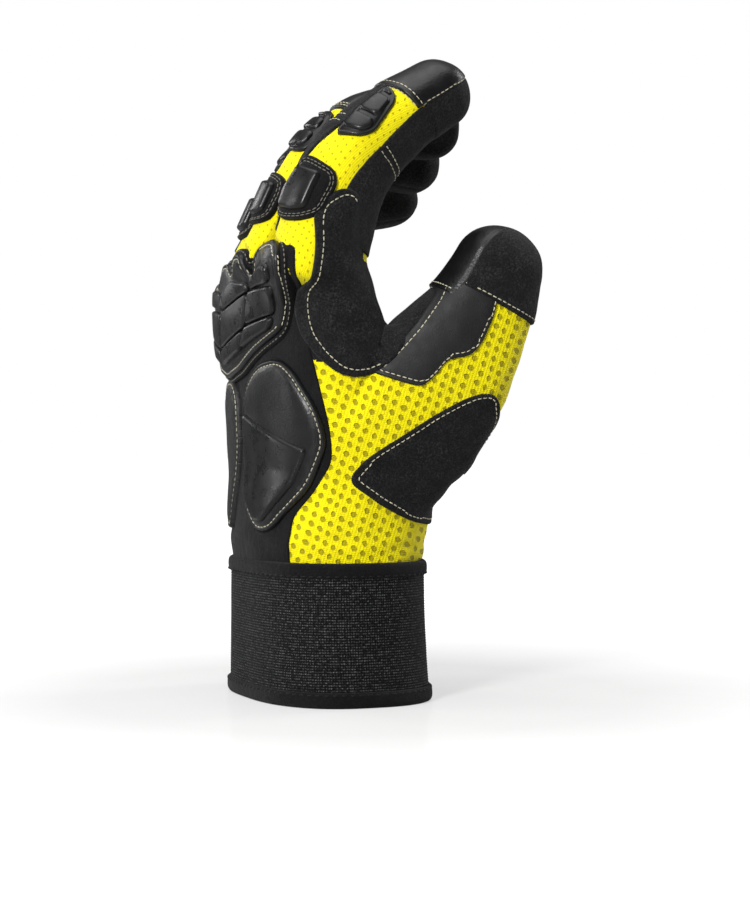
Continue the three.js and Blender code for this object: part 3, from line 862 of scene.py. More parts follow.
def make_floor():
    """A pale floor, brightened only where the camera's own rays meet it, so that it lights nothing."""
    g = Graph("floor", (0.5, 0.5, 0.5), 0.3, Specular_IOR_Level=0.3)
    g.put(g.shader, "Roughness", g.span(g.noise(60, 2), 0.3, 0.7, 0.14, 0.18))
    g.put(g.shader, "Emission Color", (1.0, 1.0, 1.0))
    # The glow is painted light: half strength near the glove and full from about a third of a metre out, so
    # the far floor shows white.
    away = g.span(g.node("VectorMath", {0: g.place()}, out=1, operation="LENGTH"), 0.1, 0.34, 0.5, 1.0)
    g.put(g.shader, "Emission Strength", g.times(g.node("LightPath"), away))


make_mesh_cloth("mesh_hand", 4.3, 0.26, tilt=0.35, stretch=1.2)
make_mesh_cloth("mesh_finger", 3.1, 0.74, tilt=0.5, stretch=1.4)
make_suede("suede", (0.0045, 0.0045, 0.005), 0.6)
make_suede("edge_cloth", (0.003, 0.003, 0.0035), 0.14, grain=0.3)
make_suede("knit_black", (0.004, 0.004, 0.0045), 0.12, grain=0.3)
make_suede("lining", (0.02, 0.02, 0.022), 0.1)
make_leather("leather", (0.004, 0.004, 0.0045), 0.36, 0.7)
make_leather("leather_soft", (0.007, 0.007, 0.0075), 0.58, 0.5)
make_leather("leather_pricked", (0.009, 0.009, 0.0095), 0.46, 0.7, holes=2.6)
make_leather("rubber", (0.005, 0.005, 0.0055), 0.3, 0.35, relief=0.08)
make_elastic()
make_threads()
make_floor()

# ---------------------------------------------------------------- the skin

def on_back(outline):
    """An outline of (y, z) points on the back of the hand, as places round it."""
    return [back_place(y, z) for y, z in outline]


# the knuckle guard's outline, as places (w, z) round the hand
GUARD = [(30, 129.5), (33, 136), (34.5, 146), (34.5, 154), (31.5, 158.4), (18.5, 158.8), (16.2, 153),
         (14.5, 148.8), (12.3, 153), (11, 157), (2, 157.8), (-5, 156.5), (-8, 151.5), (-11, 155.5),
         (-20, 155.8), (-28, 153),
         (-30.5, 148), (-33, 150.5), (-38, 149.5), (-42, 146), (-42, 131), (-36, 123.5), (-26, 117),
         (-13, 114.4), (0, 117), (12, 122.3), (24, 127)]


def eased(points, faces, share, times):
    """The skin drawn smooth where `share` is high."""
    near = share > 0.02
    pairs = edge_pairs([f for f in faces if near[list(f)].any()])
    for _ in range(times):
        step = (neighbour_mean(points, pairs) - points) * (share * near)[:, None]
        points = points + step * 0.8
    return points


def under_patch(points, outline, margin):
    """How far each skin point lies in under an outline (w, z) on the back of the hand, from 0 to 1."""
    path = inset(rounded(outline, 3), -margin)
    share = np.zeros(len(points))
    band = (points[:, 2] > path[:, 1].min()) & (points[:, 2] < path[:, 1].max()) & (points[:, 0] < 4)
    keys = np.round(points[:, 2] * 2)
    for key in np.unique(keys[band]):
        here = np.flatnonzero(band & (keys == key))
        closed, run = loop_of(hand_ring(key / 2, 0, 360))
        k = np.linalg.norm(points[here, None, :2] - closed[None, :-1, :2], axis=2).argmin(1)
        place = np.column_stack([run[k] - np.where(run[k] > run[-1] / 2, run[-1], 0), points[here, 2]])
        share[here] = np.where(contained(place, path), np.clip(edge_distance(place, path) / 2, 0, 1), 0)
    return share


skin_points, skin_faces = merged_skin()
# the cloth over the index finger's root, and under the guard, lies smooth
root = np.exp(-(((skin_points[:, 2] - 148) / 11) ** 4)) * np.clip((-14 - skin_points[:, 1]) / 8, 0, 1)
root *= np.clip((6 - skin_points[:, 0]) / 12, 0, 1)
skin_points = eased(skin_points, skin_faces, root, 60)
skin_points = eased(skin_points, skin_faces, under_patch(skin_points, GUARD, 3.5), 260)
skin_normals = vertex_normals(skin_points, skin_faces)


def filled(points, normals):
    """How far the ball of the thumb and the wrist stand out beyond the form, in millimetres."""
    out = np.clip(normals @ THUMB_WAY, 0, 1) ** 1.3
    heights = [48, 56, 64, 74, 86, 99, 112, 126, 140, 150]
    reach = np.interp(points[:, 2], heights, [0, 0.4, 3.2, 5.2, 6.0, 6.6, 5.4, 2.6, 0.8, 0])
    left = np.clip(normals @ [-0.92, 0.39, 0], 0, 1)
    return reach * out + left * np.interp(points[:, 2], [48, 56, 70, 80], [1.2, 2.0, 0.8, 0])


form_points = skin_points
skin_points = skin_points + skin_normals * filled(skin_points, skin_normals)[:, None]


def creases(p):
    """How far the cloth stands in or out of its smooth form, in millimetres."""
    x, y, z = p
    lift = 0.32 * wave(p, 13.0) + 0.16 * wave(p, 6.0, 2.2)
    wrist = math.exp(-(((z - 57) / 9) ** 2))
    lift += wrist * (0.75 * wave((x * 0.6, y * 0.6, z * 1.6), 8.0, 4.0))
    return lift


skin_points = skin_points + skin_normals * np.array([creases(p) for p in skin_points])[:, None]
skin_normals = vertex_normals(skin_points, skin_faces)
SKIN = BVHTree.FromPolygons(skin_points.tolist(), skin_faces)

# for each part: the two bodies that it bends between, and where along the limb the bend starts and ends
BLENDS = {}
for name, limb in LIMBS.items():
    middle_share, root_start, middle_end = (0.75, 2.0, 5) if name == "thumb" else (0.5, 1.5, 7)
    middle = limb.length[np.searchsorted(limb.steps, middle_share)]
    BLENDS[name + "_base"] = ("hand", name + "_base", root_start, 11.0)
    BLENDS[name + "_end"] = (name + "_base", name + "_end", middle - 6, middle + middle_end)
# where a limb's base cloth meets its end cloth
FINGER_SPLIT = 14.0
THUMB_SPLIT = 12.0
CLOTH_THICK = 0.9


def carry(piece, part, slot, *nodes, fill=None):
    """Attaches a piece to the hand's body if its part is the hand, or else bakes its transform into its mesh,
    and hides the imported parts named in `nodes`.
    """
    if piece is None:
        return
    if part == "hand":
        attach(piece, "hand")
    else:
        a, b, start, end = BLENDS[part]
        limb = LIMBS[part.split("_")[0]]
        start, end = ((limb.centre(limb.share_at(s)) + SHIFT) / 1000 for s in (start, end))
        tuple(start)
        tuple(end)
        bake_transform(piece)
    if nodes:
        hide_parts(*nodes)


def in_palm(x, y):
    """Whether a place seen from above is on the palm's side of the seam."""
    return (y > -16) & (x > 24 - (y + 16) * 0.34)


def split_skin():
    """The part of the glove that each face of the skin belongs to, and each point's cloth coordinates."""
    centres = form_points[np.array([f[0] for f in skin_faces])] * 0.5
    centres = centres + form_points[np.array([f[2] for f in skin_faces])] * 0.5
    part = np.array(["hand"] * len(centres), dtype=object)
    uv = np.column_stack([skin_points[:, 0] * 0.92 - skin_points[:, 1] * 0.39, skin_points[:, 2]])
    for name, limb in LIMBS.items():
        s, w, far = limb.places(centres)
        thick = np.interp(s, limb.length[::60], limb.thick)
        if name == "thumb":
            mine = (s > 1.0) & (far < thick * 1.15) & (centres[:, 0] > 8)
            split = THUMB_SPLIT
        else:
            mine = (s > 0.4) & (far < 27) & (centres[:, 2] > 148)
            slab = (centres[:, 1] > limb.slab[0]) & (centres[:, 1] < limb.slab[1])
            mine &= slab
            split = FINGER_SPLIT
            knuckle = slab & (part == "hand") & ~mine & (far < 32)
            knuckle &= (centres[:, 2] > 141) & (centres[:, 0] < -12)
            part[knuckle] = "hand_knuckle"
        part[mine & (s <= split)] = name + "_base"
        part[mine & (s > split)] = name + "_end"
        if name != "thumb":
            ends = np.zeros(len(skin_points), bool)
            ends[[i for f, m in zip(skin_faces, mine | knuckle) if m for i in f]] = True
            ps, pw, _ = limb.places(skin_points[ends])
            uv[ends] = np.column_stack([pw, ps])
        else:
            wide = mine & ((w < -37) | (w > 16))
            part[wide] = part[wide] + "_dark"
    hand = part == "hand"
    palm = in_palm(centres[:, 0], centres[:, 1])
    high = (centres[:, 2] > 119) & ~((centres[:, 2] > 146) & (centres[:, 0] < -12))
    part[hand & (palm | high)] = "hand_dark"
    return part, uv


skin_part, skin_uv = split_skin()


def skin_piece(name, part, material):
    """The skin's faces of one part as a cloth of its own, with an inner face and rims."""
    chosen = [f for f, p in zip(skin_faces, skin_part) if p == part]
    used = sorted({i for f in chosen for i in f})
    index = {old: new for new, old in enumerate(used)}
    outer = [tuple(index[i] for i in f) for f in chosen]
    n = len(used)
    points = np.vstack([skin_points[used], skin_points[used] - skin_normals[used] * CLOTH_THICK])
    faces = outer + [tuple(i + n for i in f[::-1]) for f in outer]
    edges = {(f[i], f[(i + 1) % len(f)]): True for f in outer for i in range(len(f))}
    faces += [(b, a, a + n, b + n) for a, b in edges if (b, a) not in edges]
    count = len(faces) - len(outer)
    piece = add_mesh(name, points, faces, [material, "lining"], np.vstack([skin_uv[used]] * 2),
                     [0] * len(outer) + [1] * count)
    shade = np.vstack([skin_normals[used], -skin_normals[used]])
    piece.data.normals_split_custom_set_from_vertices(shade.tolist())
    return piece


def cut_cloth(name, part, material, *nodes):
    """A part of the skin as a piece, handed to `carry` under the part's name without its _dark or _knuckle
    ending.
    """
    carrier = part.removesuffix("_dark").removesuffix("_knuckle")
    carry(skin_piece(name + "_cloth", part, material), carrier, material.split("_")[0], *nodes)


cut_cloth("hand_mesh", "hand", "mesh_hand", "hand_back_mesh")
cut_cloth("hand_knuckle", "hand_knuckle", "mesh_finger")
cut_cloth("hand_palm", "hand_dark", "suede", "palm_panel")
for name in FINGERS:
    cut_cloth(name + "_base", name + "_base", "mesh_finger", name + "_proximal_mesh", name + "_root_fold")
    cut_cloth(name + "_end", name + "_end", "mesh_finger", name + "_distal_mesh", name + "_middle_fold")
cut_cloth("thumb_base", "thumb_base", "mesh_hand", "thumb_proximal_mesh", "thumb_root_fold")
cut_cloth("thumb_base_palm", "thumb_base_dark", "suede", "thumb_proximal_palm")
cut_cloth("thumb_end", "thumb_end", "mesh_hand", "thumb_middle_fold")
cut_cloth("thumb_end_palm", "thumb_end_dark", "suede")

# ---------------------------------------------------------------- back of the hand

def sew(patch, part, slot, depth, nodes=(), fill=None, keep=None, thread="thread", **options):
    """Hands a patch to `carry`, with rows of stitches beside its edge."""
    carry(patch.object, part, slot, *nodes, fill=fill)
    rows = [edge_row(patch, d, keep=keep) for d in (depth if isinstance(depth, tuple) else (depth,))]
    carry(stitches(patch.name + "_stitches", rows, thread, **options), part, slot)
    return patch


BACK_PANEL = [(-27, 47), (-27, 53), (-29, 66), (-36, 74), (-42, 85), (-43, 96), (-42.5, 106), (-41, 120),
              (-38.5, 131), (-39, 143), (-38, 158), (36, 150), (38, 100), (34, 80), (27, 62), (26, 47)]
KITE_PAD = [(-1.5, 110), (-9, 116), (-17, 119.5), (-27.5, 120.5), (-34, 116), (-41, 103.5), (-42.3, 92),
            (-36, 76), (-20, 60.5), (-11.5, 60.5), (-2.3, 70)]
KITE_INSERT = [(-4.8, 102.5), (-37.5, 89.5), (-31.5, 77), (-18.5, 64.3), (-13, 64.3), (-5.2, 72)]
SIDE_PAD = [(10, 114), (5.5, 107), (4.6, 92), (8, 76), (12.5, 60), (21, 62), (31, 88), (28, 106), (19, 115)]
GUARD_BLOCKS = [
    [(15.4, 150), (30.6, 151.4), (30.9, 147), (14.6, 145.4)],
    [(12.9, 143.9), (30.6, 145.5), (28.2, 136), (9.9, 132.9)],
    [(9.4, 131.6), (27.6, 134.6), (25.2, 130.6), (5.2, 124.9)],
    [(10.9, 148.4), (12.2, 144.9), (-12, 139.4), (-14, 144.5), (-4, 148.4)],
    [(11.6, 143.4), (8.3, 132.2), (-14.6, 126.2), (-13.4, 137.9)],
    [(7.6, 130.7), (3.9, 124.4), (-14, 119.8), (-15.2, 124.7)],
    [(-15.4, 144.8), (-13.7, 139.2), (-33.5, 142), (-33, 147)],
    [(-15, 137.7), (-16, 126), (-37, 131.6), (-36, 140.4)],
    [(-16.6, 124.5), (-15.4, 120), (-27, 123.2), (-36.5, 130.2)],
]


def make_back():
    panel = Patch("back_panel_cloth", hand_ray, on_back(BACK_PANEL), turned(0.55, 0.5), "knit_black", 4, 1.6,
                  lumps=0.12)
    carry(panel.object, "hand", "suede", "back_panel")

    kite_height = swollen(grooved(turned(2.3, 1.0), 1.75, 0.5, 0.55), 0.9, 9)
    kite = Patch("kite_pad_cover", hand_ray, on_back(KITE_PAD), kite_height, "leather", 5, 1.2,
                 (1.3, 1.75, 2.2), under=1.5)
    sew(kite, "hand", "leather", 1.75, ["kite_pad"], 0.7)
    insert = Patch("kite_pad_block", hand_ray, on_back(KITE_INSERT), moulded(1.6, 4.4, 1.5), "rubber",
                   1.8, 1.2, (1.2, 1.6))
    carry(insert.object, "hand", "rubber", "kite_pad_insert", fill=0.9)

    side_height = swollen(grooved(turned(2.2, 1.0), 1.75, 0.5, 0.5), 0.8, 8)
    side = Patch("side_pad_cover", hand_ray, on_back(SIDE_PAD), side_height, "leather_pricked", 4, 1.3,
                 (1.3, 1.75, 2.2), under=1.5)
    sew(side, "hand", "leather", 1.75, ["side_pad"], 0.7)

    bed = Bed((-48, 108), (40, 164))
    rim = inset(rounded(GUARD, 3.0, 0.8), -1.9)[::2]
    flange = Patch("guard_flange", hand_ray, rim, turned(1.5, 0.9), "edge_cloth", 0.5, 1.6, under=3,
                   lumps=0.1, bed=bed)
    sew(flange, "hand", "suede", 0.9, pitch=1.9, length=1.3, radius=0.2, thread="thread_dark")
    top_height = grooved(turned(3.2, 1.1, start=0.8), 1.7, 0.45, 0.4)
    guard = Patch("guard_cover", hand_ray, GUARD, top_height, "leather", 3.0, 1.2, (1.3, 1.7, 2.1), under=0.5,
                  bed=bed)
    sew(guard, "hand", "leather", 1.7, ["knuckle_guard"], 0.8)
    for i, outline in enumerate(GUARD_BLOCKS):
        outline = inset(rounded(outline, 0.9, 0.8), -0.45)
        block = Patch(f"guard_block_{i + 1}", hand_ray, outline, moulded(2.9, 4.8, 0.8), "rubber", 0.5, 1.1,
                      (1.2,), bed=bed)
        carry(block.object, "hand", "rubber", *(["knuckle_guard_rubber"] if i == 0 else []), fill=0.9)


# ---------------------------------------------------------------- thumb side

# outlines seen from the thumb's side, as (x, z)
SADDLE = [(-24.2, 167), (-22, 172.2), (-15, 176.8), (-9, 175.4), (-5.5, 170), (-2, 160), (1, 150), (4, 141),
          (7, 134), (9.5, 131.5), (4.5, 120.5), (-2, 114.8), (-9, 113), (-15.5, 114.8), (-21, 120.5),
          (-24.6, 128), (-26, 136), (-25.6, 146), (-24.2, 156)]
THUMB_PATCH = [(-4.5, 115.2), (3, 112.4), (11, 110), (15, 113.2), (19.5, 119.4), (27.2, 120.6), (31.6, 125.6),
               (35, 134), (36.5, 142), (31, 147), (22, 147.5), (15.5, 138.5), (9.5, 130.6), (3, 123)]
THENAR = [(-11, 78.6), (-4, 86.6), (17, 101.2), (29, 107.6), (36.5, 108.4), (40.5, 105), (43, 98), (39, 82),
          (32, 66), (27, 62.5), (14, 64.2), (2, 69.5)]


def make_thumb_side():
    def sinks(p):
        """The saddle runs down into the crotch of the thumb."""
        return 1 - (p[:, 0] + 11 - np.maximum(0, 152 - p[:, 1]) * 0.62) / 9

    def sewn(p):
        """The saddle is stitched on its back and upper edges, and on its lowest."""
        return (p[:, 0] < -12.5) | (p[:, 1] > 171.5) | ((p[:, 1] < 121) & (p[:, 0] < -1))

    saddle = Patch("saddle_patch_cloth", side_ray, SADDLE, grooved(turned(1.6, 0.8), 2.0, 0.5, 0.3), "suede",
                   4, 1.4, (1.5, 2.0, 2.5), fade=sinks, lumps=0.5, smooth=10)
    sew(saddle, "index_base", "suede", 2.1, ["thumb_saddle_patch"], keep=sewn)
    patch = Patch("thumb_patch_cloth", side_ray, THUMB_PATCH, grooved(turned(1.0, 0.7), 1.2, 0.45, 0.25),
                  "leather_soft", 2.5, 1.3, (1.2, 1.6, 2.0), lumps=0.25)
    sew(patch, "thumb_base", "leather", 1.2, keep=lambda p: p[:, 1] < 144.5)
    thenar = Patch("thenar_patch_cloth", side_ray, THENAR, grooved(turned(1.1, 0.7), 1.9, 0.5, 0.25), "suede",
                   5, 1.4, (1.4, 1.9, 2.4), lumps=0.15)
    sew(thenar, "hand", "suede", 1.9, ["thenar_patch"])


# ---------------------------------------------------------------- fingers

PADS = {
    # outlines as (s, w): the pad behind the middle joint, its block, the shell further out, its blocks
    "index": (
        [(26.2, -3.6), (25.8, 1), (24.9, 5), (23.6, 10.4), (19.4, 12.6), (8.4, 10.4), (5.4, 4), (5.2, -4),
         (7.6, -9.8), (18.4, -9.6)],
        [(23, -2.8), (22.2, 2), (21.4, 7.2), (9.2, 5.4), (8.2, 0), (9.8, -6.8), (16, -6.6)],
        [(33.6, 1.6), (35, 6.6), (36.9, 10.6), (41.4, 12.4), (48, 10.5), (54.4, 8.4), (56.6, 4.4),
         (56.9, -0.6), (50, 0), (42, 0.6), (37, 1)],
        [[(36.4, 2.2), (37.7, 9.2), (40.7, 10.8), (43.8, 10), (43.1, 1.7)],
         [(44.1, 1.6), (45, 9.6), (53.1, 7.6), (53, 1.1)],
         [(54, 1.1), (54.1, 6.8), (55.6, 4.6), (56, 1.1)]],
    ),
    "other": (
        [(20.6, -7.6), (20.4, -2.5), (19.4, 1.6), (17.8, 5.4), (13, 6.8), (3.4, 6.2), (0.2, 2.6), (-0.4, -4),
         (1.6, -8.4)],
        [(17.2, -5.2), (16.6, 0), (15.4, 3.4), (4.6, 3.2), (2.9, -0.6), (4, -5.6)],
        [(26.6, -6.6), (28.2, -3), (27.4, 2), (28.4, 6), (31.6, 7), (38, 6.4), (42.6, 5), (44, 2), (44, -3),
         (43, -6.6)],
        [[(29, -5), (29.2, 2.4), (30, 5), (34.6, 5), (34.6, -5)],
         [(35.6, -5), (35.6, 5), (40.4, 4), (40.4, -5)],
         [(41.3, -4.6), (41.3, 3.4), (42.7, 1), (42.6, -4.6)]],
    ),
}
# the seam across a finger's side, and its cap's edge: how far along at mid-back, and how it leans round
SIDE_SEAM = {"index": 40, "other": 31}
CAP_EDGE = {"index": (57.2, 0.12), "other": (46, 0.1)}
# how far round from mid-back the mesh reaches, on the thumb's side and on the other, as (s, w)
FRONT_EDGE = {
    "index": ((-10, 16), (14, 16), (19.6, 15.8), (29, 17.2), (40, 17.4), (50, 16), (59, 14.5), (90, 13)),
    "middle": ((-10, 8.6), (90, 8.6)),
    "other": ((-10, 10.2), (90, 10.2)),
}
BACK_EDGE = {
    "index": ((-10, 10.4), (18, 10.4), (25, 4.6), (34, 0.8), (40, -0.6), (57, 1), (90, 7)),
    "other": ((-10, 9.6), (90, 9.6)),
}
# the side cloth's own width, from one edge of the mesh round the palm to the other
SIDE_WIDE = 60


class FingerCloth:
    """Places on a finger's sides and palm: s along, t from the mesh's front edge round to its far one."""

    def __init__(self, name):
        self.limb = LIMBS[name]
        self.front = np.array(FRONT_EDGE.get(name, FRONT_EDGE["other"]), float)
        self.back = np.array(BACK_EDGE.get(name, BACK_EDGE["other"]), float)

    def around(self, s, t):
        run = self.limb.girth(min(s, self.limb.end))[3][-1]
        front = np.interp(s, self.front[:, 0], self.front[:, 1])
        back = np.interp(s, self.back[:, 0], self.back[:, 1])
        return front + t / SIDE_WIDE * (run - back - front)

    def ray(self, s, t):
        return self.limb.ray(s, self.around(s, t))


class Cap:
    """A sewn finger-end: a thimble laid on the skin. It starts `edge(q)` along, at the share q round."""

    def __init__(self, name, limb, edge, height, material_of, sides=112):
        self.limb = limb
        q = np.linspace(0, 1, sides, endpoint=False)
        starts = np.array([edge(k) for k in q])
        near = [0, 0.12, 0.3, 0.55, 0.9, 1.3, 1.8, 2.4]
        rest = np.linspace(0, 1, 22)[1:]
        rows = [starts + n for n in near] + [starts + 2.4 + (limb.end - starts - 2.4) * r for r in rest]
        rows += [np.full(sides, limb.end + limb.thick[-1] * lean) for lean in np.linspace(0, 1.5, 16)[1:]]
        spots = [self.spot(s, k) for row in rows for s, k in zip(row, q)]
        base = np.array(spots + [self.spot(limb.end + 99, 0)])
        faces = grid_faces(len(rows), sides)
        last = len(base) - 1
        faces += [(last - sides + j, last - sides + (j + 1) % sides, last) for j in range(sides)]
        normals = vertex_normals(base, faces)
        outward = base - limb.centre(1.0)
        tip = slice(-400, None)
        if (normals[tip] * outward[tip]).sum() < 0:
            faces = [f[::-1] for f in faces]
            normals = -normals
        s = np.concatenate([*rows, [rows[-1][0]]])
        around = np.concatenate([np.tile(q, len(rows)), [0]])
        beyond = np.concatenate([*(row - starts for row in rows), [99]])
        h = height(s, around, beyond)
        points = base + normals * h[:, None]
        self.tree = BVHTree.FromPolygons(points.tolist(), faces)
        rim = base[:sides] - normals[:sides] * 0.8
        start = len(points)
        points = np.vstack([points, rim])
        wall = [(j, (j + 1) % sides, start + (j + 1) % sides, start + j) for j in range(sides)]
        columns = [f[0] % sides if len(f) == 4 else 0 for f in faces]
        kinds = [material_of(c / sides) for c in columns] + [material_of(j / sides) for j in range(sides)]
        uv = np.column_stack([s, around * 80])
        uv = np.vstack([uv, uv[:sides]])
        self.object = add_mesh(name, points, faces + wall, ["leather", "suede"], uv, kinds)

    def spot(self, s, q):
        origin, direction = self.limb.ray(s, q * self.limb.girth(min(s, self.limb.end))[3][-1])
        location = skin_hit(origin, direction)
        return np.array(location if location is not None else origin + direction * 12)

    def surface(self, s, q):
        spot = Vector(self.spot(s, q))
        location, normal, _, _ = self.tree.find_nearest(spot)
        out = spot - Vector(self.limb.centre(self.limb.share_at(min(s, self.limb.end) - 1)))
        return np.array(location), np.array(normal if normal.dot(out) > 0 else -normal)


def make_finger(name):
    limb, size = LIMBS[name], FINGER_SIZE[name]
    cloth = FingerCloth(name)
    pad_line, block_line, shell_line, tip_lines = PADS.get(name, PADS["other"])
    split = FINGER_SPLIT

    def laid(piece, outline, *form, **more):
        """A patch on the back of the finger."""
        return Patch(f"{name}_{piece}", limb.ray, [(s * size, w) for s, w in outline], *form, **more)

    side_height = grooved(turned(0.75, 0.6), 2.0, 0.5, 0.2)
    base_line = [(2.2, 0), (2.2, SIDE_WIDE), (split, SIDE_WIDE), (split, 0)]
    base = Patch(name + "_base_side_cloth", cloth.ray, base_line, side_height, "suede", 1, 1.5, lumps=0.2,
                 hidden=lambda p: p[:, 0] > split - 0.3)
    carry(base.object, name + "_base", "suede", name + "_proximal_palm")
    seam = SIDE_SEAM.get(name, SIDE_SEAM["other"]) * size
    edge_s, edge_lean = CAP_EDGE.get(name, CAP_EDGE["other"])
    top = edge_s * size + 5

    def end_height(d, uv):
        return side_height(d, uv) - 0.35 * bump(uv[:, 0], seam, 0.7)

    end_line = [(split, 0), (split, SIDE_WIDE), (top, SIDE_WIDE), (top, 0)]
    end = Patch(name + "_end_side_cloth", cloth.ray, end_line, end_height, "suede", 1, 1.3, lumps=0.25,
                hidden=lambda p: (p[:, 0] < split + 0.3) | (p[:, 0] > top - 0.3))
    carry(end.object, name + "_end", "suede", name + "_distal_palm")
    rows = [[end.surface(s, t) for t in np.arange(1.0, 59, 0.6)] for s in (seam - 1.2, seam + 1.2)]
    carry(stitches(name + "_end_side_stitches", rows, radius=0.17), name + "_end", "suede")

    pad_height = swollen(grooved(turned(1.9, 0.8), 1.6, 0.45, 0.45), 0.4, 6)
    pad = laid("knuckle_pad_cover", pad_line, pad_height, "edge_cloth", 3, 1.1, (1.2, 1.6, 2.0), under=1.2)
    sew(pad, name + "_base", "leather", (1.2, 2.0), [name + "_knuckle_pad"], 0.6, radius=0.16,
        thread="thread_dark")
    block = laid("knuckle_block_cover", block_line, moulded(1.4, 3.9, 1.4), "rubber", 1.6, 1.0, (1.2,))
    carry(block.object, name + "_base", "rubber", name + "_knuckle_block", fill=0.9)

    shell_height = grooved(turned(1.5, 0.7), 1.1, 0.4, 0.3)
    shell = laid("tip_pad_cover", shell_line, shell_height, "rubber", 2, 1.1, (1.1, 1.5), under=1.2)
    carry(shell.object, name + "_end", "rubber", name + "_tip_pad", fill=0.7)
    for i, outline in enumerate(tip_lines):
        tip = laid(f"tip_block_{i + 1}", outline, moulded(1.0, 2.4, 0.9), "rubber", 1.2, 0.9)
        carry(tip.object, name + "_end", "rubber", fill=0.9)

    run = limb.girth(edge_s * size)[3][-1]
    front, back = (14.6 if name == "index" else 10.2) / run, 1 - 9.6 / run

    def edge(q):
        w = q * run if q < 0.5 else (q - 1) * run
        return (edge_s + edge_lean * np.clip(w, -10, 15)) * size

    def height(s, q, beyond):
        dorsal = (q < front) | (q > back)
        h = np.where(dorsal, turned(1.15, 0.7)(beyond, None), -0.6 + 1.45 * np.clip((beyond - 1) / 3, 0, 1))
        fade = np.clip(beyond / 3, 0, 1) * (s < limb.end + 15)
        for seam_q in (front, back, 0.43):
            h = h - 0.4 * bump((q - seam_q) * run, 0, 0.75) * fade
        return h

    cap = Cap(name + "_cap_cloth", limb, edge, height, lambda q: 0 if q < front or q > back else 1)
    carry(cap.object, name + "_end", "leather", name + "_cap")
    wide = [q % 1 for q in np.arange(back - 1, front, 0.006)]
    rows = [[cap.surface(edge(q) + depth, q) for q in wide] for depth in (1.0, 2.0)]
    rows.append([cap.surface(s, front - 0.012) for s in np.arange(edge(front) + 2, limb.end + 13, 0.5)])
    carry(stitches(name + "_cap_stitches", rows, radius=0.17), name + "_end", "leather")


def make_thumb_cap():
    limb = LIMBS["thumb"]
    run = limb.girth(25)[3][-1]
    # the seams, as shares of the way round, and the edges of the outer strip and of the inner part
    strip, front = 1 - 39 / run, 0.12
    outer_edge, inner_edge = 25.5, 19.5

    def edge(q):
        return outer_edge if q > strip or q < front else inner_edge

    def height(s, q, beyond):
        h = turned(1.2, 0.7)(beyond, None)
        for seam_q in (strip, front):
            h = h - 0.45 * bump((q - seam_q) * run, 0, 0.8) * (s < limb.end + 17)
        return h

    cap = Cap("thumb_cap_cloth", limb, edge, height, lambda q: 1 if q > strip or q < front else 0, 128)
    carry(cap.object, "thumb_end", "leather", "thumb_cap")
    outer = [q % 1 for q in np.arange(strip - 1 + 0.008, 0.115, 0.005)]
    inner = np.arange(0.13, strip - 0.008, 0.005)
    rows = [[cap.surface(outer_edge + 1.3, q) for q in outer]]
    rows += [[cap.surface(inner_edge + depth, q) for q in inner] for depth in (1.0, 2.4)]
    carry(stitches("thumb_cap_stitches", rows), "thumb_end", "leather")


# ---------------------------------------------------------------- cuff

def cuff_ring(z, offset, sides=260):
    """A ring of the cuff, which flares a little towards its hem."""
    flare = 1.8 * ((50 - z) / 48.4) ** 2
    c, s = section(sides, LIMB_CORNER)
    x = -1.2 + flare / 2 - c * (30.4 + flare / 2 + offset)
    return np.column_stack([x, -s * (43 + flare + offset), np.full(sides, z)])


def sweep(name, profile, material, ripple=0.0):
    """A closed profile of (outward, height) swept round the cuff."""
    rings = []
    for offset, z in profile:
        ring = cuff_ring(z, offset)
        if ripple:
            out = unit_rows(ring * np.array([1, 1, 0]))
            ring = ring + out * np.array([ripple * wave((p[0], p[1], z), 9.0, 3.3) for p in ring])[:, None]
        rings.append(ring)
    sides = len(rings[0])
    points = np.vstack(rings)
    faces = grid_faces(len(rings), sides)
    last = (len(rings) - 1) * sides
    faces += [(last + j, last + (j + 1) % sides, (j + 1) % sides, j) for j in range(sides)]
    run = loop_of(rings[0])[1][:-1]
    uv = np.column_stack([np.tile(run, len(rings)), np.repeat([p[1] for p in profile], sides)])
    return add_mesh(name, points, [f[::-1] for f in faces], material, uv)


def make_cuff():
    ribs = 43
    low, high = 6.2, 45.6
    outer = []
    for i in range(ribs * 4 + 1):
        z = low + (high - low) * i / (ribs * 4)
        outer.append((-0.35 + 0.3 * abs(math.sin(math.pi * i / 4)) + 0.12, z))
    inner = [(-1.9, z) for z in np.linspace(high, low, 12)]
    carry(sweep("cuff_elastic_band", outer + inner, "elastic", 0.1), "hand", "elastic", "cuff_band")

    def roll(centre, z, half_out, half_z, power, count=28):
        """A rolled edge's closed profile."""
        turn = np.linspace(0, 2 * math.pi, count, endpoint=False)
        c, s = np.cos(turn), np.sin(turn)
        return [(centre + np.sign(a) * abs(a) ** power * half_out, z + np.sign(b) * abs(b) ** power * half_z)
                for a, b in zip(c, s)]

    binding = roll(-0.75, 47.9, 1.75, 2.7, 0.75)
    hem = roll(-0.6, 4.35, 1.7, 2.75, 0.7)
    carry(sweep("cuff_top_roll", binding, "edge_cloth", 0.22), "hand", "elastic", "cuff_top_binding")
    carry(sweep("cuff_hem_roll", hem, "edge_cloth", 0.15), "hand", "elastic", "cuff_hem")
    rows = []
    for z, offset in ((46.1, 0.72), (6.1, 0.78)):
        ring = loop_of(cuff_ring(z, offset))[0]
        out = unit_rows(ring * np.array([1, 1, 0]))
        rows.append(list(zip(ring, out)))
    carry(stitches("cuff_stitches", rows, "thread_black", 3.0, 2.1, 0.36), "hand", "elastic")


make_back()
make_thumb_side()
for finger in FINGERS:
    make_finger(finger)
make_thumb_cap()
make_cuff()

# ---------------------------------------------------------------- camera, light and floor

CAMERA = np.array([-258.2, -650.9, 89.0])
CAMERA_TURN = math.radians(23)


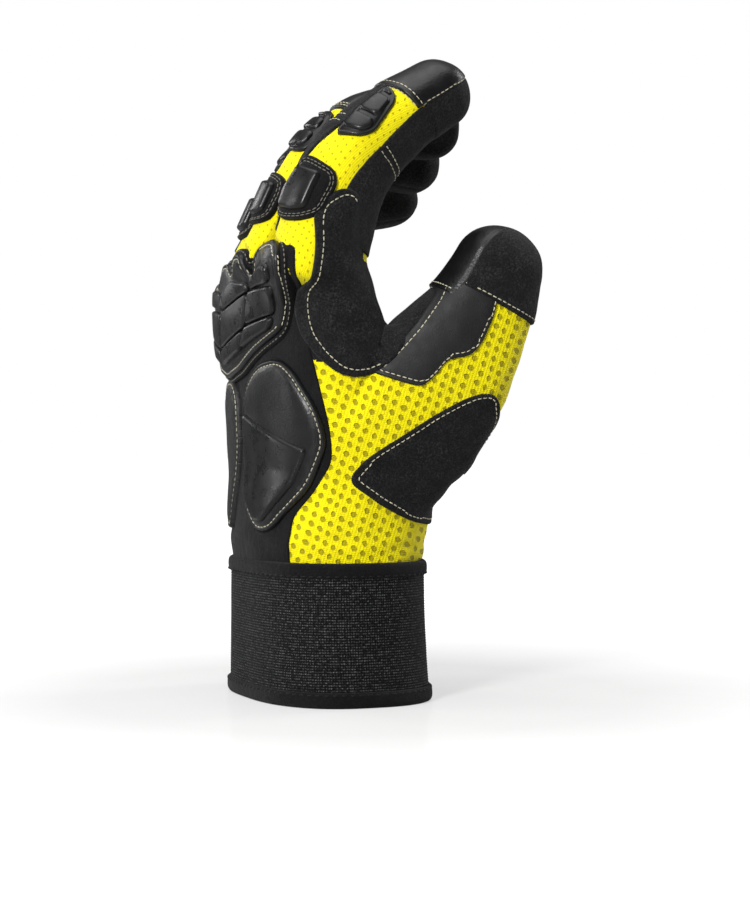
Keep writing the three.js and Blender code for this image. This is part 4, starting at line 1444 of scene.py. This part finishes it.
def area_light(name, place, target, size, power):
    data = bpy.data.lights.new(name, "AREA")
    data.shape = "RECTANGLE"
    data.size, data.size_y = size
    data.energy = power
    lamp = placed(name, data)
    lamp.location = place
    lamp.rotation_euler = (Vector(target) - Vector(place)).to_track_quat("-Z", "Y").to_euler()


def make_studio():
    camera_data = bpy.data.cameras.new("camera")
    camera_data.lens = 77.8
    camera_data.sensor_width = 36
    camera_data.clip_start, camera_data.clip_end = 0.01, 20
    camera = placed("camera", camera_data)
    camera.location = tuple((CAMERA + SHIFT) / 1000)
    forward = Vector((math.sin(CAMERA_TURN), math.cos(CAMERA_TURN), 0))
    camera.rotation_euler = forward.to_track_quat("-Z", "Y").to_euler()
    bpy.context.scene.camera = camera

    ground = bpy.data.meshes.new("floor")
    ground.from_pydata([(-60, -60, 0), (60, -60, 0), (60, 60, 0), (-60, 60, 0)], [], [(0, 1, 2, 3)])
    ground.materials.append(MATERIALS["floor"])
    floor = placed("floor", ground)

    world = bpy.data.worlds.new("studio")
    bpy.context.scene.world = world
    world.use_nodes = True
    background = world.node_tree.nodes["Background"]
    seen = world.node_tree.nodes.new("ShaderNodeLightPath").outputs["Is Camera Ray"]
    strength = world.node_tree.nodes.new("ShaderNodeMapRange")
    world.node_tree.links.new(seen, strength.inputs["Value"])
    strength.inputs["To Min"].default_value = 0.13
    strength.inputs["To Max"].default_value = 1.0
    background.inputs[0].default_value = (1, 1, 1, 1)
    world.node_tree.links.new(strength.outputs[0], background.inputs[1])
    middle = (0, 0, 0.12)
    area_light("key", (-0.85, -0.75, 0.6), middle, (0.22, 0.4), 14)
    area_light("top", (-0.1, -0.1, 1.0), middle, (0.8, 0.8), 4)
    area_light("rim", (0.9, 0.1, 0.55), middle, (0.25, 0.8), 4)
    area_light("left", (-0.8, 0.3, 0.35), middle, (0.12, 0.6), 1.7)
    area_light("back left", (-0.45, 0.85, 0.5), middle, (0.16, 0.5), 1.8)
    sun = bpy.data.lights.new("sky", "SUN")
    sun.energy, sun.angle = 0.6, math.radians(70)
    placed("sky", sun)
    bpy.context.scene.view_settings.view_transform = "Standard"


make_studio()
